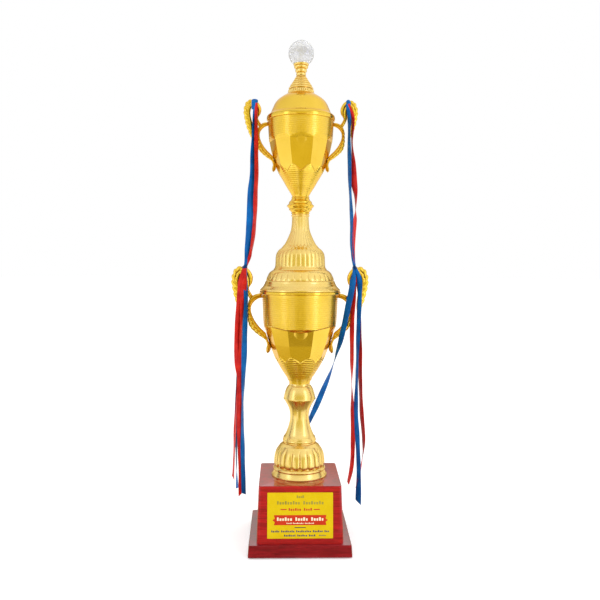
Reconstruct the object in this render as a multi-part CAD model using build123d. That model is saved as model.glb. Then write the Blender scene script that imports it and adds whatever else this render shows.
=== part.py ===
from build123d import *
import os
from math import atan, cos, degrees, radians, sin, tan

# A two-tier cup trophy on a square wooden base, with scroll handles, ribbons and a lift-off lid.
# Origin: centre of the underside. +Z is up, -Y is the front, +X is to the right. All sizes in mm.

# ---- wooden base ----
felt_thickness = 2.0
felt_width = 173.0
plinth_bottom_width = 182.6
plinth_top_width = 179.6
plinth_top = 23.0
block_bottom_width = 152.8
block_top_width = 146.0
block_top = 122.0
block_front_foot = 83.0
plinth_corner_radius = 4.0
block_corner_radius = 5.5
label_width = 115.0
label_height = 79.0
label_thickness = 0.8
label_centre_z = 72.0

# ---- clamping rod, M6 ----
rod_radius = 3.0
rod_hole_radius = 3.4
counterbore_radius = 14.0
counterbore_top = 14.0
washer_thickness = 1.6
nut_height = 5.0
nut_across_flats = 10.0
nut_bore_radius = 3.05
rod_bottom = 4.0

# ---- levels of the joints between the hollow pieces ----
foot_top = 182.0
stem_top = 241.5
stem_knob_top = 292.0
lower_bowl_top = 456.0
lower_rim_top = 461.5
lower_dome_top = 503.5
drum_top = 541.0
neck_top = 602.0
upper_knob_top = 634.0
upper_bowl_top = 770.0
upper_rim_top = 776.0
lid_dome_top = 819.0
spire_top = 851.6
cap_top = 873.5
ball_centre = 892.0
ball_radius = 23.5

lower_rim_radius = 74.4
upper_rim_radius = 61.8

wall = 2.0
web = 3.0
bead_height = 2.0
bead_gap = 0.2
lid_gap = 0.3

# ---- handles ----
upper_joint = (73.5, 761.0)
lower_joint = (88.5, 448.5)
lower_handle_scale = 1.23
handle_arm_thickness = 8.0
handle_leaf_thickness = 6.0

# ---- handle screws, M4 ----
screw_radius = 1.9
screw_hole_radius = 2.0
screw_head_radius = 3.6
screw_head_height = 2.4
contact_gap = 0.05

# ---- ribbons ----
ribbon_width = 12.0
ribbon_thickness = 0.8
ribbon_pitch = 1.8
fold_thickness = 1.0


def at(points):
    """Points of (radius, height) placed in the XZ plane."""
    return [(radius, 0, height) for radius, height in points]


def straight(*points):
    return Polyline(*at(points))


def smooth(*points):
    return Spline(*at(points))


def turned(*stretches):
    """Solid of revolution about Z from stretches that follow each other round a closed outline."""
    first = stretches[0] @ 0
    last = stretches[-1] @ 1
    stretches = list(stretches)
    if (first - last).length > 1e-6:
        stretches.append(Line(last, first))
    return revolve(make_face(stretches), Axis.Z)


def ring(inner, outer, bottom, top):
    """Plain washer or tube between two heights."""
    return turned(straight((inner, bottom), (outer, bottom), (outer, top), (inner, top)))


def disc(radius, bottom, top):
    return Pos(0, 0, bottom) * Cylinder(radius, top - bottom, align=(Align.CENTER, Align.CENTER, Align.MIN))


def around(count, cutter):
    """Copies of a cutter spaced evenly round the axis."""
    return [Rot(0, 0, 360 * step / count) * cutter for step in range(count)]


def write(name, shape):
    export_step(shape, "parts/" + name + ".step")


# ---- base ----
def felt_pad():
    return extrude(RectangleRounded(felt_width, felt_width, plinth_corner_radius), amount=felt_thickness)


def base_plinth():
    slope = degrees(atan((plinth_bottom_width - plinth_top_width) / 2 / (plinth_top - felt_thickness)))
    outline = Pos(0, 0, felt_thickness) * RectangleRounded(
        plinth_bottom_width, plinth_bottom_width, plinth_corner_radius)
    board = extrude(outline, amount=plinth_top - felt_thickness, taper=slope)
    board -= disc(counterbore_radius, felt_thickness, counterbore_top)
    return board - disc(rod_hole_radius, counterbore_top, plinth_top)


def base_block():
    """Wedge-shaped block: its front leans back more than its sides do."""
    depth = block_front_foot + block_bottom_width / 2
    bottom = RectangleRounded(block_bottom_width, depth, block_corner_radius)
    top = RectangleRounded(block_top_width, block_top_width, block_corner_radius)
    bottom = Pos(0, depth / 2 - block_front_foot, plinth_top) * bottom
    block = loft([bottom, Pos(0, 0, block_top) * top], ruled=True)
    return block - disc(rod_hole_radius, plinth_top, block_top)


def label_plate():
    front_top = block_top_width / 2
    lean = atan((block_front_foot - front_top) / (block_top - plinth_top))
    face_y = -block_front_foot + (label_centre_z - plinth_top) * tan(lean)
    plate = Box(label_width, label_thickness, label_height)
    plate = Pos(0, -label_thickness / 2, 0) * plate
    return Pos(0, face_y, label_centre_z) * Rot(-degrees(lean), 0, 0) * plate


# ---- clamping rod ----
def hex_nut(bottom, height, flats, bore):
    body = Pos(0, 0, bottom) * extrude(RegularPolygon(flats / 2, 6, major_radius=False), amount=height)
    return body - disc(bore, bottom, bottom + height)


cup_floor = upper_knob_top + 4.0
cup_nut_bottom = cup_floor + washer_thickness
rod_top = cup_nut_bottom + nut_height + 3.0


# ---- hollow gold pieces ----
def foot():
    shell = turned(
        straight((50.2, block_top), (50.2, 125.0)),
        smooth((50.2, 125.0), (48.4, 128.6), (46.4, 133.5)),
        straight((46.4, 133.5), (47.6, 135.0), (47.6, 139.0), (45.8, 140.5)),
        smooth((45.8, 140.5), (46.3, 152.0), (43.6, 166.5), (35.8, 178.0), (31.0, foot_top)),
        straight((31.0, foot_top), (13.0, foot_top), (13.0, foot_top + bead_height)),
        straight((13.0, foot_top + bead_height), (rod_hole_radius, foot_top + bead_height)),
        straight((rod_hole_radius, foot_top + bead_height), (rod_hole_radius, foot_top - web)),
        straight((rod_hole_radius, foot_top - web), (27.5, foot_top - web)),
        smooth((27.5, foot_top - web), (39.0, 168.0), (42.6, 152.0), (43.0, 138.0), (46.0, block_top)),
    )
    return shell


def stem():
    return turned(
        straight((29.0, foot_top), (29.0, 184.5), (30.4, 186.0), (30.4, 192.5), (28.6, 194.5)),
        smooth((28.6, 194.5), (23.3, 204.0), (19.3, 216.0), (17.3, 228.0), (17.9, 239.0)),
        straight((17.9, 239.0), (17.9, stem_top), (11.0, stem_top), (11.0, stem_top + bead_height)),
        straight((11.0, stem_top + bead_height), (rod_hole_radius, stem_top + bead_height)),
        straight((rod_hole_radius, stem_top + bead_height), (rod_hole_radius, stem_top - web)),
        straight((rod_hole_radius, stem_top - web), (15.0, stem_top - web)),
        smooth((15.0, stem_top - web), (14.8, 228.0), (16.8, 216.0), (20.8, 204.0), (25.0, 195.0)),
        straight((25.0, 195.0), (25.0, 185.5), (13.0 + bead_gap, 185.5), (13.0 + bead_gap, foot_top)),
    )


def stem_knob():
    return turned(
        smooth((18.4, stem_top), (21.1, 249.0), (25.2, 257.0), (29.4, 263.5)),
        straight((29.4, 263.5), (29.4, 265.0)),
        smooth((29.4, 265.0), (27.6, 273.5), (24.4, 282.6), (20.2, 289.5), (19.4, stem_knob_top)),
        straight((19.4, stem_knob_top), (11.0, stem_knob_top), (11.0, stem_knob_top + bead_height)),
        straight((11.0, stem_knob_top + bead_height), (rod_hole_radius, stem_knob_top + bead_height)),
        straight((rod_hole_radius, stem_knob_top + bead_height), (rod_hole_radius, stem_knob_top - web)),
        straight((rod_hole_radius, stem_knob_top - web), (16.8, stem_knob_top - web)),
        smooth((16.8, stem_knob_top - web), (24.9, 273.5), (26.2, 264.5), (18.5, 249.5), (15.6, 245.0)),
        straight((15.6, 245.0), (11.0 + bead_gap, 245.0), (11.0 + bead_gap, stem_top)),
    )


# Outsides before the flat facets are cut, then the insides, as (radius, height) from the bottom up.
lower_bowl_line = [(19.0, 292.0), (19.8, 295.0), (20.6, 297.5), (27.8, 309.0), (36.0, 322.0), (41.6, 332.0)]
lower_bowl_line += [(47.2, 343.0), (52.6, 355.0), (57.2, 366.0), (62.4, 380.0), (65.0, 389.0)]
lower_bowl_line += [(66.6, 400.0), (68.3, 425.0), (69.0, 445.0), (69.3, lower_bowl_top)]
lower_bowl_inside = [(18.6, 298.0), (25.6, 309.0), (33.8, 322.0), (38.4, 334.0), (49.2, 365.5), (57.9, 394.0)]
lower_bowl_inside += [(60.0, 402.0), (65.4, 412.0), (66.2, 425.0), (69.3 - wall, lower_bowl_top)]
upper_bowl_line = [(15.2, 634.0), (15.9, 636.0), (17.6, 639.0), (26.7, 653.6), (30.9, 661.0), (35.4, 668.5)]
upper_bowl_line += [(40.4, 677.0), (45.2, 688.0), (49.6, 700.0), (53.6, 714.0), (56.6, 729.5), (57.2, 732.0)]
upper_bowl_line += [(58.2, 744.0), (59.0, 757.0), (59.3, upper_bowl_top)]
upper_bowl_inside = [(15.4, 638.0), (19.6, 646.0), (24.7, 653.6), (32.6, 668.0), (35.9, 676.0), (40.0, 688.0)]
upper_bowl_inside += [(47.5, 714.0), (51.8, 736.0), (55.6, 743.0), (59.3 - wall, upper_bowl_top)]

# The upper bowl is built up of three stacked shells: cone, faceted wall and ribbed band.
upper_cone_top = 668.0
upper_band_bottom = 743.0

# Ten flat facets round each bowl. Their corners, in degrees from the front, then (height, corner radius).
facet_corners = [21.0, 54.0, 90.0, 126.0, 159.0, 201.0, 234.0, 270.0, 306.0, 339.0]
lower_facets = [(325.0, 40.5), (333.0, 43.3), (365.5, 54.8), (394.0, 64.2), (402.0, 66.4), (409.0, 74.5)]
upper_facets = [(668.0, 37.9), (688.0, 45.0), (714.0, 53.0), (736.0, 57.6), (741.0, 63.5)]


def facet_cutter(levels, gap):
    """Everything outside the ten-sided tiers, between their lowest and highest level."""
    tiers = []
    for height, radius in levels:
        reach = radius + gap
        corners = [(reach * sin(radians(turn)), -reach * cos(radians(turn))) for turn in facet_corners]
        tiers.append(Pos(0, 0, height) * Polygon(*corners, align=None))
    return disc(90.0, levels[0][0], levels[-1][0]) - loft(tiers, ruled=True)


def bowl_core(line, levels, gap):
    """Solid of the bowl's outer shape, grown by a gap."""
    side = [(radius + gap, height) for radius, height in line]
    core = turned(straight((0, side[0][1]), side[0]), smooth(*side), straight(side[-1], (0, side[-1][1])))
    return core - facet_cutter(levels, gap)


def bowl(line, inside, levels, socket_radius):
    """Bowl with a thick floor, a hole for the rod and a socket under it."""
    bottom = line[0][1]
    floor_top = inside[0][1]
    hollow = turned(straight((0, floor_top), *inside, (0, inside[-1][1])))
    socket = disc(socket_radius, bottom, bottom + bead_height + 0.5)
    return bowl_core(line, levels, 0) - hollow - socket - disc(rod_hole_radius, bottom, floor_top)


def lower_bowl():
    return bowl(lower_bowl_line, lower_bowl_inside, lower_facets, 11.0 + bead_gap)


def upper_bowl():
    return bowl(upper_bowl_line, upper_bowl_inside, upper_facets, 10.0 + bead_gap)


def lower_rim():
    """Rolled trim ring that sits on the big bowl's edge."""
    return turned(
        straight((63.0, lower_bowl_top), (73.0, lower_bowl_top)),
        smooth((73.0, lower_bowl_top), (lower_rim_radius, 458.6), (73.4, lower_rim_top)),
        straight((73.4, lower_rim_top), (63.0, lower_rim_top)),
    )


def lower_dome():
    top = lower_dome_top
    return turned(
        straight((72.4, lower_rim_top), (73.0, 463.0)),
        smooth((73.0, 463.0), (70.2, 468.0), (65.4, 475.0), (62.3, 482.0), (59.4, 489.5), (55.6, 496.5)),
        straight((55.6, 496.5), (50.5, 499.5), (47.4, top), (20.0, top), (20.0, top + bead_height)),
        straight((20.0, top + bead_height), (rod_hole_radius, top + bead_height)),
        straight((rod_hole_radius, top + bead_height), (rod_hole_radius, top - web), (44.0, top - web)),
        smooth((44.0, top - web), (54.0, 492.0), (62.0, 476.0), (68.0, lower_rim_top)),
    )


drum_flutes = 28


def riser_drum():
    body = turned(
        straight((46.2, lower_dome_top), (46.2, 505.0), (44.9, 507.0), (44.7, 523.0)),
        smooth((44.7, 523.0), (43.2, 530.0), (38.6, 537.0), (33.6, drum_top)),
        straight((33.6, drum_top), (16.0, drum_top), (16.0, drum_top + bead_height)),
        straight((16.0, drum_top + bead_height), (rod_hole_radius, drum_top + bead_height)),
        straight((rod_hole_radius, drum_top + bead_height), (rod_hole_radius, drum_top - web)),
        straight((rod_hole_radius, drum_top - web), (30.0, drum_top - web)),
        smooth((30.0, drum_top - web), (38.8, 530.0), (41.6, 520.0), (41.8, 507.0)),
        straight((41.8, 507.0), (20.0 + bead_gap, 507.0), (20.0 + bead_gap, lower_dome_top)),
    )
    groove = Pos(45.2, 0, 507.5) * Cylinder(1.0, 18.0, align=(Align.CENTER, Align.CENTER, Align.MIN))
    return body - around(drum_flutes, groove)


def riser_neck():
    top = neck_top
    return turned(
        smooth((33.2, drum_top), (28.2, 548.0), (22.6, 559.0), (17.8, 570.0), (16.2, 583.0), (15.4, top)),
        straight((15.4, top), (10.0, top), (10.0, top + bead_height), (rod_hole_radius, top + bead_height)),
        straight((rod_hole_radius, top + bead_height), (rod_hole_radius, top - web), (12.8, top - web)),
        smooth((12.8, top - web), (13.4, 583.0), (15.0, 571.0), (19.4, 560.0), (26.0, 547.5)),
        straight((26.0, 547.5), (16.0 + bead_gap, 547.5), (16.0 + bead_gap, drum_top)),
    )


def upper_knob():
    top = upper_knob_top
    return turned(
        smooth((15.4, neck_top), (17.6, 606.0), (22.0, 612.0), (24.4, 616.0)),
        straight((24.4, 616.0), (24.4, 618.0)),
        smooth((24.4, 618.0), (21.4, 623.5), (17.2, 629.5), (15.0, top)),
        straight((15.0, top), (10.0, top), (10.0, top + bead_height), (rod_hole_radius, top + bead_height)),
        straight((rod_hole_radius, top + bead_height), (rod_hole_radius, top - web), (12.6, top - web)),
        smooth((12.6, top - web), (20.6, 620.0), (21.0, 615.0), (13.4, 606.5)),
        straight((13.4, 606.5), (10.0 + bead_gap, 606.5), (10.0 + bead_gap, neck_top)),
    )


def upper_rim():
    """Rolled trim ring round the open bowl's edge."""
    return turned(
        straight((57.6, upper_bowl_top), (60.6, upper_bowl_top)),
        smooth((60.6, upper_bowl_top), (upper_rim_radius, 773.0), (61.0, upper_rim_top)),
        straight((61.0, upper_rim_top), (57.6, upper_rim_top)),
    )


# ---- lid ----
def lid_dome():
    bottom = upper_rim_top + lid_gap
    spigot_bottom = 769.6
    top = lid_dome_top
    return turned(
        straight((56.8, bottom), (60.6, bottom), (61.0, 778.5), (59.6, 780.4), (56.4, 781.4)),
        smooth((56.4, 781.4), (52.8, 787.5), (49.8, 796.0), (46.2, 803.0), (38.5, 810.5), (29.0, 816.5)),
        straight((29.0, 816.5), (24.4, top), (10.0, top), (10.0, top + bead_height)),
        straight((10.0, top + bead_height), (2.7, top + bead_height), (2.7, top - web), (23.0, top - web)),
        smooth((23.0, top - web), (36.5, 808.0), (46.0, 798.5), (49.8, 789.0), (54.2, bottom)),
        straight((54.2, bottom), (54.2, spigot_bottom), (56.8, spigot_bottom)),
    )


def lid_spire():
    """Beehive spire: a beaded foot band, then rings that shrink towards the top."""
    band_bottom = lid_dome_top
    ring_levels = [827.0, 831.8, 836.4, 840.8, 844.9, 848.5, spire_top]
    ring_radii = [22.3, 19.6, 16.6, 13.8, 11.6, 9.6]
    outline = [(23.4, band_bottom), (23.4, 825.4), (21.8, 827.0)]
    for lower, upper, radius in zip(ring_levels, ring_levels[1:], ring_radii):
        height = upper - lower
        outline += [(radius, lower + 0.15 * height), (radius - 1.2, lower + 0.75 * height)]
        outline += [(radius - 2.4, upper)]
    outline += [(6.0, spire_top), (6.0, spire_top + bead_height), (2.7, spire_top + bead_height)]
    outline += [(2.7, spire_top - web), (4.6, spire_top - web), (19.6, 827.0), (19.6, 823.5)]
    outline += [(10.0 + bead_gap, 823.5), (10.0 + bead_gap, band_bottom)]
    return turned(straight(*outline))


def finial_cap():
    """Two stepped rings under a shallow seat for the ball."""
    seat = Pos(0, 0, ball_centre) * Sphere(ball_radius + 0.1)
    body = turned(
        straight((6.0 + bead_gap, spire_top), (8.2, spire_top), (8.6, 855.0), (7.8, 857.5)),
        straight((7.8, 857.5), (9.9, 859.0), (10.3, 862.0), (9.6, 864.0), (11.8, 865.4), (12.4, 868.0)),
        straight((12.4, 868.0), (13.6, 870.2), (13.8, cap_top), (2.7, cap_top)),
        straight((2.7, cap_top), (2.7, spire_top + 2.5), (6.0 + bead_gap, spire_top + 2.5)),
    )
    return body - seat


stud_radius = 2.5
stud_bottom = 803.0
stud_top = 882.0


def crystal_ball():
    ball = Pos(0, 0, ball_centre) * Sphere(ball_radius)
    return ball - disc(stud_radius + 0.05, ball_centre - ball_radius - 1.0, stud_top)


def lid_nut():
    nut_top = lid_dome_top - web
    return hex_nut(nut_top - 4.0, 4.0, 8.0, stud_radius + 0.05)


# ---- handles ----
# Outline of one scroll handle, as distances outward and upward from the point where the scroll
# leaves the arm, at the size of the upper handles.
arm_inner = [(-14.0, 0.8), (-9.5, -0.9), (-3.6, -5.2), (0.6, -12.0), (1.0, -19.0), (-2.2, -29.0)]
arm_inner += [(-12.0, -43.4), (-20.4, -51.4), (-25.5, -57.5)]
arm_outer = [(-21.0, -63.6), (-12.7, -57.0), (-3.2, -49.4), (3.4, -41.6), (6.2, -32.0), (6.6, -20.0)]
arm_outer += [(5.9, -8.0), (3.2, -1.0)]
tail_outer = [(-21.0, -63.6), (-22.6, -69.6), (-21.2, -77.6), (-21.8, -81.6), (-24.2, -82.8)]
tail_inner = [(-24.2, -82.8), (-27.4, -80.6), (-29.0, -74.5), (-28.6, -69.0), (-31.0, -62.0)]
stem_inner = [(-2.4, 4.0), (1.6, 8.6), (4.2, 15.4)]
lobe = [(4.2, 15.4), (-0.2, 22.0), (-1.6, 30.6), (1.2, 38.6), (8.0, 45.6), (16.0, 47.4), (24.0, 44.6)]
leaf_outer = [(24.0, 44.6), (28.6, 36.0), (30.2, 27.0), (29.0, 16.0), (25.4, 0.3), (20.4, -13.6), (14.4, -25.6)]
leaf_inner = [(14.4, -25.6), (12.6, -14.0), (14.0, 4.0), (17.2, 17.0), (18.0, 25.0), (15.4, 32.6)]
eye_inner = [(15.4, 32.6), (12.6, 31.0), (11.6, 24.0), (11.4, 16.6), (8.6, 8.4), (5.4, 2.6), (3.2, -1.0)]


def mirrored(shape):
    return mirror(shape, Plane.YZ)


def handle(joint, scale, core, rim):
    """Right-hand handle: the arm and tail are thicker than the scroll and its leaf."""
    def placed(points):
        return Spline(*[(joint[0] + scale * u, 0, joint[1] + scale * w) for u, w in points])

    root_low = arm_inner[0]
    root_high = (-14.0 - 4.0, 7.6)
    arm_top = [root_high, (-7.0, 6.2), (-2.4, 4.0)]
    joint_line = [(-2.4, 4.0), (0.6, 1.8), (3.2, -1.0)]
    root = placed([root_low, root_high])
    arm_end = placed([arm_inner[-1], tail_inner[-1]])
    arm_edges = [placed(arm_top), placed(joint_line), placed(list(reversed(arm_outer))), placed(tail_outer)]
    arm_edges += [placed(tail_inner), arm_end, placed(arm_inner), root]
    scroll_edges = [placed(joint_line), placed(stem_inner), placed(lobe), placed(leaf_outer)]
    scroll_edges += [placed(leaf_inner), placed(eye_inner)]
    arm = extrude(make_face(arm_edges), amount=scale * handle_arm_thickness / 2, both=True)
    scroll = extrude(make_face(scroll_edges), amount=scale * handle_leaf_thickness / 2, both=True)
    under_rim = disc(rim[0] + bead_gap, rim[1] - bead_gap, rim[1] + 20.0)
    return arm + scroll - core - under_rim


# ---- handle screws ----
def along_x(radius, start, end, height):
    """Rod along X between two distances from the axis."""
    rod = Cylinder(radius, end - start, align=(Align.CENTER, Align.CENTER, Align.MIN))
    return Pos(start, 0, height) * Rot(0, 90, 0) * rod


def screw(height, head_face, tip):
    shank = along_x(screw_radius, head_face, tip, height)
    return shank + along_x(screw_head_radius, head_face - screw_head_height, head_face, height)


def screw_hole(height, head_face, tip):
    return along_x(screw_hole_radius, head_face - 1.0, tip + 0.5, height)


# Each handle has two screws: height, where the head bears on the inside of the wall, and tip.
upper_screws = [(764.6, 56.4, 66.0), (701.2, 42.4, 54.0)]
lower_screws = [(450.8, 66.6, 79.0), (375.6, 50.6, 65.0)]


def both_sides(shapes):
    solids = []
    for shape in shapes:
        solids += [shape, mirrored(shape)]
    return solids


# ---- ribbons ----
# Routes as (distance from the middle, height), from the top of each strand to its end.
left_knot_place = (-101.0, 497.0)
right_knot_place = (100.0, 497.0)
upper_fold_x = 84.0
upper_fold_low = 791.0
upper_fold_high = 809.3
knot_high = 507.6
knot_top = 516.0
first_strand_y = -6.6

left_upper_routes = {
    "left_ribbon_blue": [(-84.0, 791.0), (-82.8, 755.0), (-86.5, 719.0), (-88.5, 661.0), (-91.5, 600.0),
                         (-94.5, 555.0), (-101.0, 516.0)],
    "left_ribbon_red": [(-84.0, 791.0), (-81.0, 755.0), (-80.0, 719.0), (-80.2, 661.0), (-82.6, 595.0),
                        (-86.4, 555.0), (-101.0, 516.0)],
}
right_upper_routes = {
    "right_ribbon_blue": [(84.0, 791.0), (86.5, 755.0), (87.5, 719.0), (89.0, 661.0), (92.4, 600.0),
                          (94.5, 540.0), (100.0, 516.0)],
    "right_ribbon_red": [(84.0, 791.0), (93.0, 755.0), (94.4, 719.0), (97.2, 661.0), (100.2, 618.0),
                         (98.6, 560.0), (100.0, 516.0)],
}
left_tail_routes = {
    "left_tail_red_outer": [(-101.0, 497.0), (-109.0, 480.0), (-112.0, 427.0), (-114.8, 381.0), (-114.4, 338.0),
                            (-117.4, 262.0), (-119.6, 186.0), (-121.6, 112.0)],
    "left_tail_blue_outer": [(-101.0, 497.0), (-106.0, 480.0), (-108.5, 427.0), (-111.6, 338.0),
                             (-114.7, 262.0), (-115.8, 186.0), (-114.4, 99.0)],
    "left_tail_red_inner": [(-101.0, 497.0), (-104.0, 464.0), (-105.6, 427.0), (-108.6, 338.0),
                            (-110.0, 262.0), (-109.2, 186.0), (-107.0, 82.0)],
    "left_tail_blue_inner": [(-101.0, 497.0), (-101.8, 464.0), (-100.0, 427.0), (-102.6, 346.0),
                             (-104.6, 280.0), (-104.0, 186.0), (-102.4, 88.0)],
}
right_tail_routes = {
    "right_tail_red_inner": [(100.0, 497.0), (98.6, 455.0), (96.0, 405.0), (95.0, 344.0), (96.4, 280.0),
                             (98.6, 186.0), (95.6, 125.0), (88.6, 99.0)],
    "right_tail_red_outer": [(100.0, 497.0), (108.4, 462.0), (110.6, 420.0), (110.6, 344.0), (114.0, 270.0),
                             (119.6, 190.0), (116.0, 132.0), (105.2, 86.0)],
    "right_tail_blue_outer": [(100.0, 497.0), (107.6, 462.0), (107.6, 409.0), (105.0, 344.0), (104.0, 270.0),
                              (107.0, 188.0), (109.4, 130.0), (109.0, 73.0)],
}
# The fourth tail on the right runs in front of the arm, turns at a fold and ends behind the stem.
tucked_front = [(100.0, 497.0), (96.4, 482.0), (87.6, 440.0), (80.4, 399.0), (74.0, 368.0), (68.6, 341.0)]
tucked_back = [(68.6, 341.0), (58.0, 309.0), (42.0, 269.0), (29.0, 234.0), (13.0, 199.0)]
fold_x, fold_z = tucked_front[-1]
fold_seam_height = 13.0
tucked_end_y = 26.0


def strip(points, depth):
    """Flat ribbon along a route in a vertical plane that faces the front."""
    edges = [[], []]
    for index, (x, z) in enumerate(points):
        before = points[max(index - 1, 0)]
        after = points[min(index + 1, len(points) - 1)]
        run = Vector(after[0] - before[0], after[1] - before[1]).normalized()
        if index in (0, len(points) - 1):
            run = Vector(0, -1)
        for side, edge in zip((-1, 1), edges):
            edge.append((x - side * run.Y * ribbon_width / 2, 0, z + side * run.X * ribbon_width / 2))
    outline = Polyline(*edges[0], *reversed(edges[1]), close=True)
    return Pos(0, depth, 0) * extrude(make_face(outline), amount=ribbon_thickness / 2, both=True)


def tucked_strip(depth):
    """Ribbon in two flat stretches that meet at an upright fold line."""
    turn = atan((tucked_end_y - depth) / (fold_x - tucked_back[-1][0]))
    unfolded = [(fold_x + (x - fold_x) / cos(turn), z) for x, z in tucked_back]
    whole = strip(tucked_front + unfolded[1:], 0)
    far = Box(400, 40, 1200, align=(Align.MIN, Align.CENTER, Align.CENTER))
    front = whole & (Pos(fold_x, 0, 0) * far)
    back = Pos(-fold_x, 0, 0) * (whole - Pos(fold_x, 0, 0) * far)
    back = Pos(fold_x, 0, 0) * Rot(0, 0, -degrees(turn)) * back
    seam = Pos(fold_x, 0, fold_z) * Cylinder(ribbon_thickness / 2, fold_seam_height)
    return Pos(0, depth, 0) * (front + back + seam)


def saddle(x, low, inside, top, half_gap, front):
    """Ribbon folded over a curl: an upside-down U with its front leg thick enough for every strand."""
    back = half_gap + fold_thickness
    block = Pos(x, (back + front) / 2, (low + top) / 2) * Box(ribbon_width, back - front, top - low)
    slot = Pos(x, 0, (low + inside) / 2 - 1.0) * Box(ribbon_width + 2, 2 * half_gap, inside - low + 2.0)
    return block - slot


def write_strands(routes, side_depths):
    for (name, route), depth in zip(routes.items(), side_depths):
        write(name, strip(route, depth))


# ---- everything ----
def main():
    os.makedirs("parts", exist_ok=True)
    write("felt_pad", felt_pad())
    write("base_plinth", base_plinth())
    write("base_block", base_block())
    write("label_plate", label_plate())

    write("tie_rod", disc(rod_radius, rod_bottom, rod_top))
    washer_bottom = counterbore_top - washer_thickness
    write("base_washer", ring(rod_hole_radius - 0.1, 9.0, washer_bottom, counterbore_top))
    write("base_nut", hex_nut(washer_bottom - nut_height, nut_height, nut_across_flats, nut_bore_radius))
    write("cup_washer", ring(rod_hole_radius - 0.1, 8.0, cup_floor, cup_nut_bottom))
    write("cup_nut", hex_nut(cup_nut_bottom, nut_height, nut_across_flats, nut_bore_radius))

    write("foot", foot())
    write("stem", stem())
    write("stem_knob", stem_knob())
    write("lower_rim", lower_rim())
    write("lower_dome", lower_dome())
    write("riser_drum", riser_drum())
    write("riser_neck", riser_neck())
    write("upper_knob", upper_knob())
    write("upper_rim", upper_rim())

    lower_holes = both_sides([screw_hole(*place) for place in lower_screws])
    upper_holes = both_sides([screw_hole(*place) for place in upper_screws])
    write("lower_bowl", lower_bowl() - lower_holes)
    upper_shell = upper_bowl() - upper_holes
    write("upper_bowl_cone", upper_shell & disc(90.0, upper_knob_top, upper_cone_top))
    write("upper_bowl", upper_shell & disc(90.0, upper_cone_top, upper_band_bottom))
    write("upper_bowl_band", upper_shell & disc(90.0, upper_band_bottom, upper_bowl_top))
    lower_core = bowl_core(lower_bowl_line, lower_facets, contact_gap)
    upper_core = bowl_core(upper_bowl_line, upper_facets, contact_gap)
    lower_handle = handle(lower_joint, lower_handle_scale, lower_core, (lower_rim_radius, lower_bowl_top))
    upper_handle = handle(upper_joint, 1.0, upper_core, (upper_rim_radius, upper_bowl_top))
    lower_handle -= lower_holes
    upper_handle -= upper_holes
    write("lower_handle_right", lower_handle)
    write("lower_handle_left", mirrored(lower_handle))
    write("upper_handle_right", upper_handle)
    write("upper_handle_left", mirrored(upper_handle))
    write("lower_handle_screws", Compound(children=both_sides([screw(*place) for place in lower_screws])))
    write("upper_handle_screws", Compound(children=both_sides([screw(*place) for place in upper_screws])))

    write("lid_dome", lid_dome())
    write("lid_spire", lid_spire())
    write("finial_cap", finial_cap())
    write("crystal_ball", crystal_ball())
    write("lid_stud", disc(stud_radius, stud_bottom, stud_top))
    write("lid_nut", lid_nut())

    depths = [first_strand_y - step * ribbon_pitch for step in range(4)]
    upper_gap = handle_leaf_thickness / 2 + 0.4
    lower_gap = lower_handle_scale * handle_leaf_thickness / 2 + 0.5
    upper_front = depths[1] - ribbon_thickness
    lower_front = depths[3] - ribbon_thickness
    fold = (upper_fold_low, upper_fold_high, upper_fold_high + fold_thickness, upper_gap, upper_front)
    write("left_upper_wrap", saddle(-upper_fold_x, *fold))
    write("right_upper_wrap", saddle(upper_fold_x, *fold))
    knot = (knot_high, knot_top, lower_gap, lower_front)
    write("left_knot", saddle(*left_knot_place, *knot))
    write("right_knot", saddle(*right_knot_place, *knot))
    write_strands(left_upper_routes, depths)
    write_strands(right_upper_routes, depths)
    write_strands(left_tail_routes, depths)
    write_strands(right_tail_routes, depths[1:])
    write("right_tail_blue_tucked", tucked_strip(depths[0]))


main()
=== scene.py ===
import math

import bpy
import numpy as np
from mathutils import Matrix, Vector


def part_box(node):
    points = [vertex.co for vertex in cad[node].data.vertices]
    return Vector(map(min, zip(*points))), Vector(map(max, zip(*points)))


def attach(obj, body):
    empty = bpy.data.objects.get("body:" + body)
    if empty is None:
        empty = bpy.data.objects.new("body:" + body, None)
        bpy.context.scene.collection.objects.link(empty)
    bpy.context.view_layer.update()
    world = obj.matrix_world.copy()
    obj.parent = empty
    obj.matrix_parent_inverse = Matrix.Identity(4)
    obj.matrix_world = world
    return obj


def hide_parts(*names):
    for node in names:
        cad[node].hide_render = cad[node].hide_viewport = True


# Looks of a two-tier cup trophy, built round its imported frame. Lengths in this file are millimetres
# until a mesh is made; the frame and Blender are in metres. Front is -Y, up is +Z.

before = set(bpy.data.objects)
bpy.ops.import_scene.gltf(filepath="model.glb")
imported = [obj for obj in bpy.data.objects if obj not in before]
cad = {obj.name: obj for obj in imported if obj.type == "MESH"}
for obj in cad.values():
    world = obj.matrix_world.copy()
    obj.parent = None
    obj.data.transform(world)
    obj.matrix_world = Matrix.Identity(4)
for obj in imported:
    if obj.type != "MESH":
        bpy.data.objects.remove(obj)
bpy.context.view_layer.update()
MM = 0.001

# ---------------- levels, from the frame


def level(node, corner):
    """Lowest (0) or highest (1) height of a CAD node, in millimetres."""
    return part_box(node)[corner].z / MM


block_top = level("base_block", 1)
plinth_low, plinth_top = level("base_plinth", 0), level("base_plinth", 1)
ball_low, ball_high = level("crystal_ball", 0), level("crystal_ball", 1)
ball_centre = (ball_low + ball_high) / 2
ball_radius = (ball_high - ball_low) / 2

# ---------------- node materials

WHITE, BLACK = (1.0, 1.0, 1.0), (0.0, 0.0, 0.0)


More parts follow.
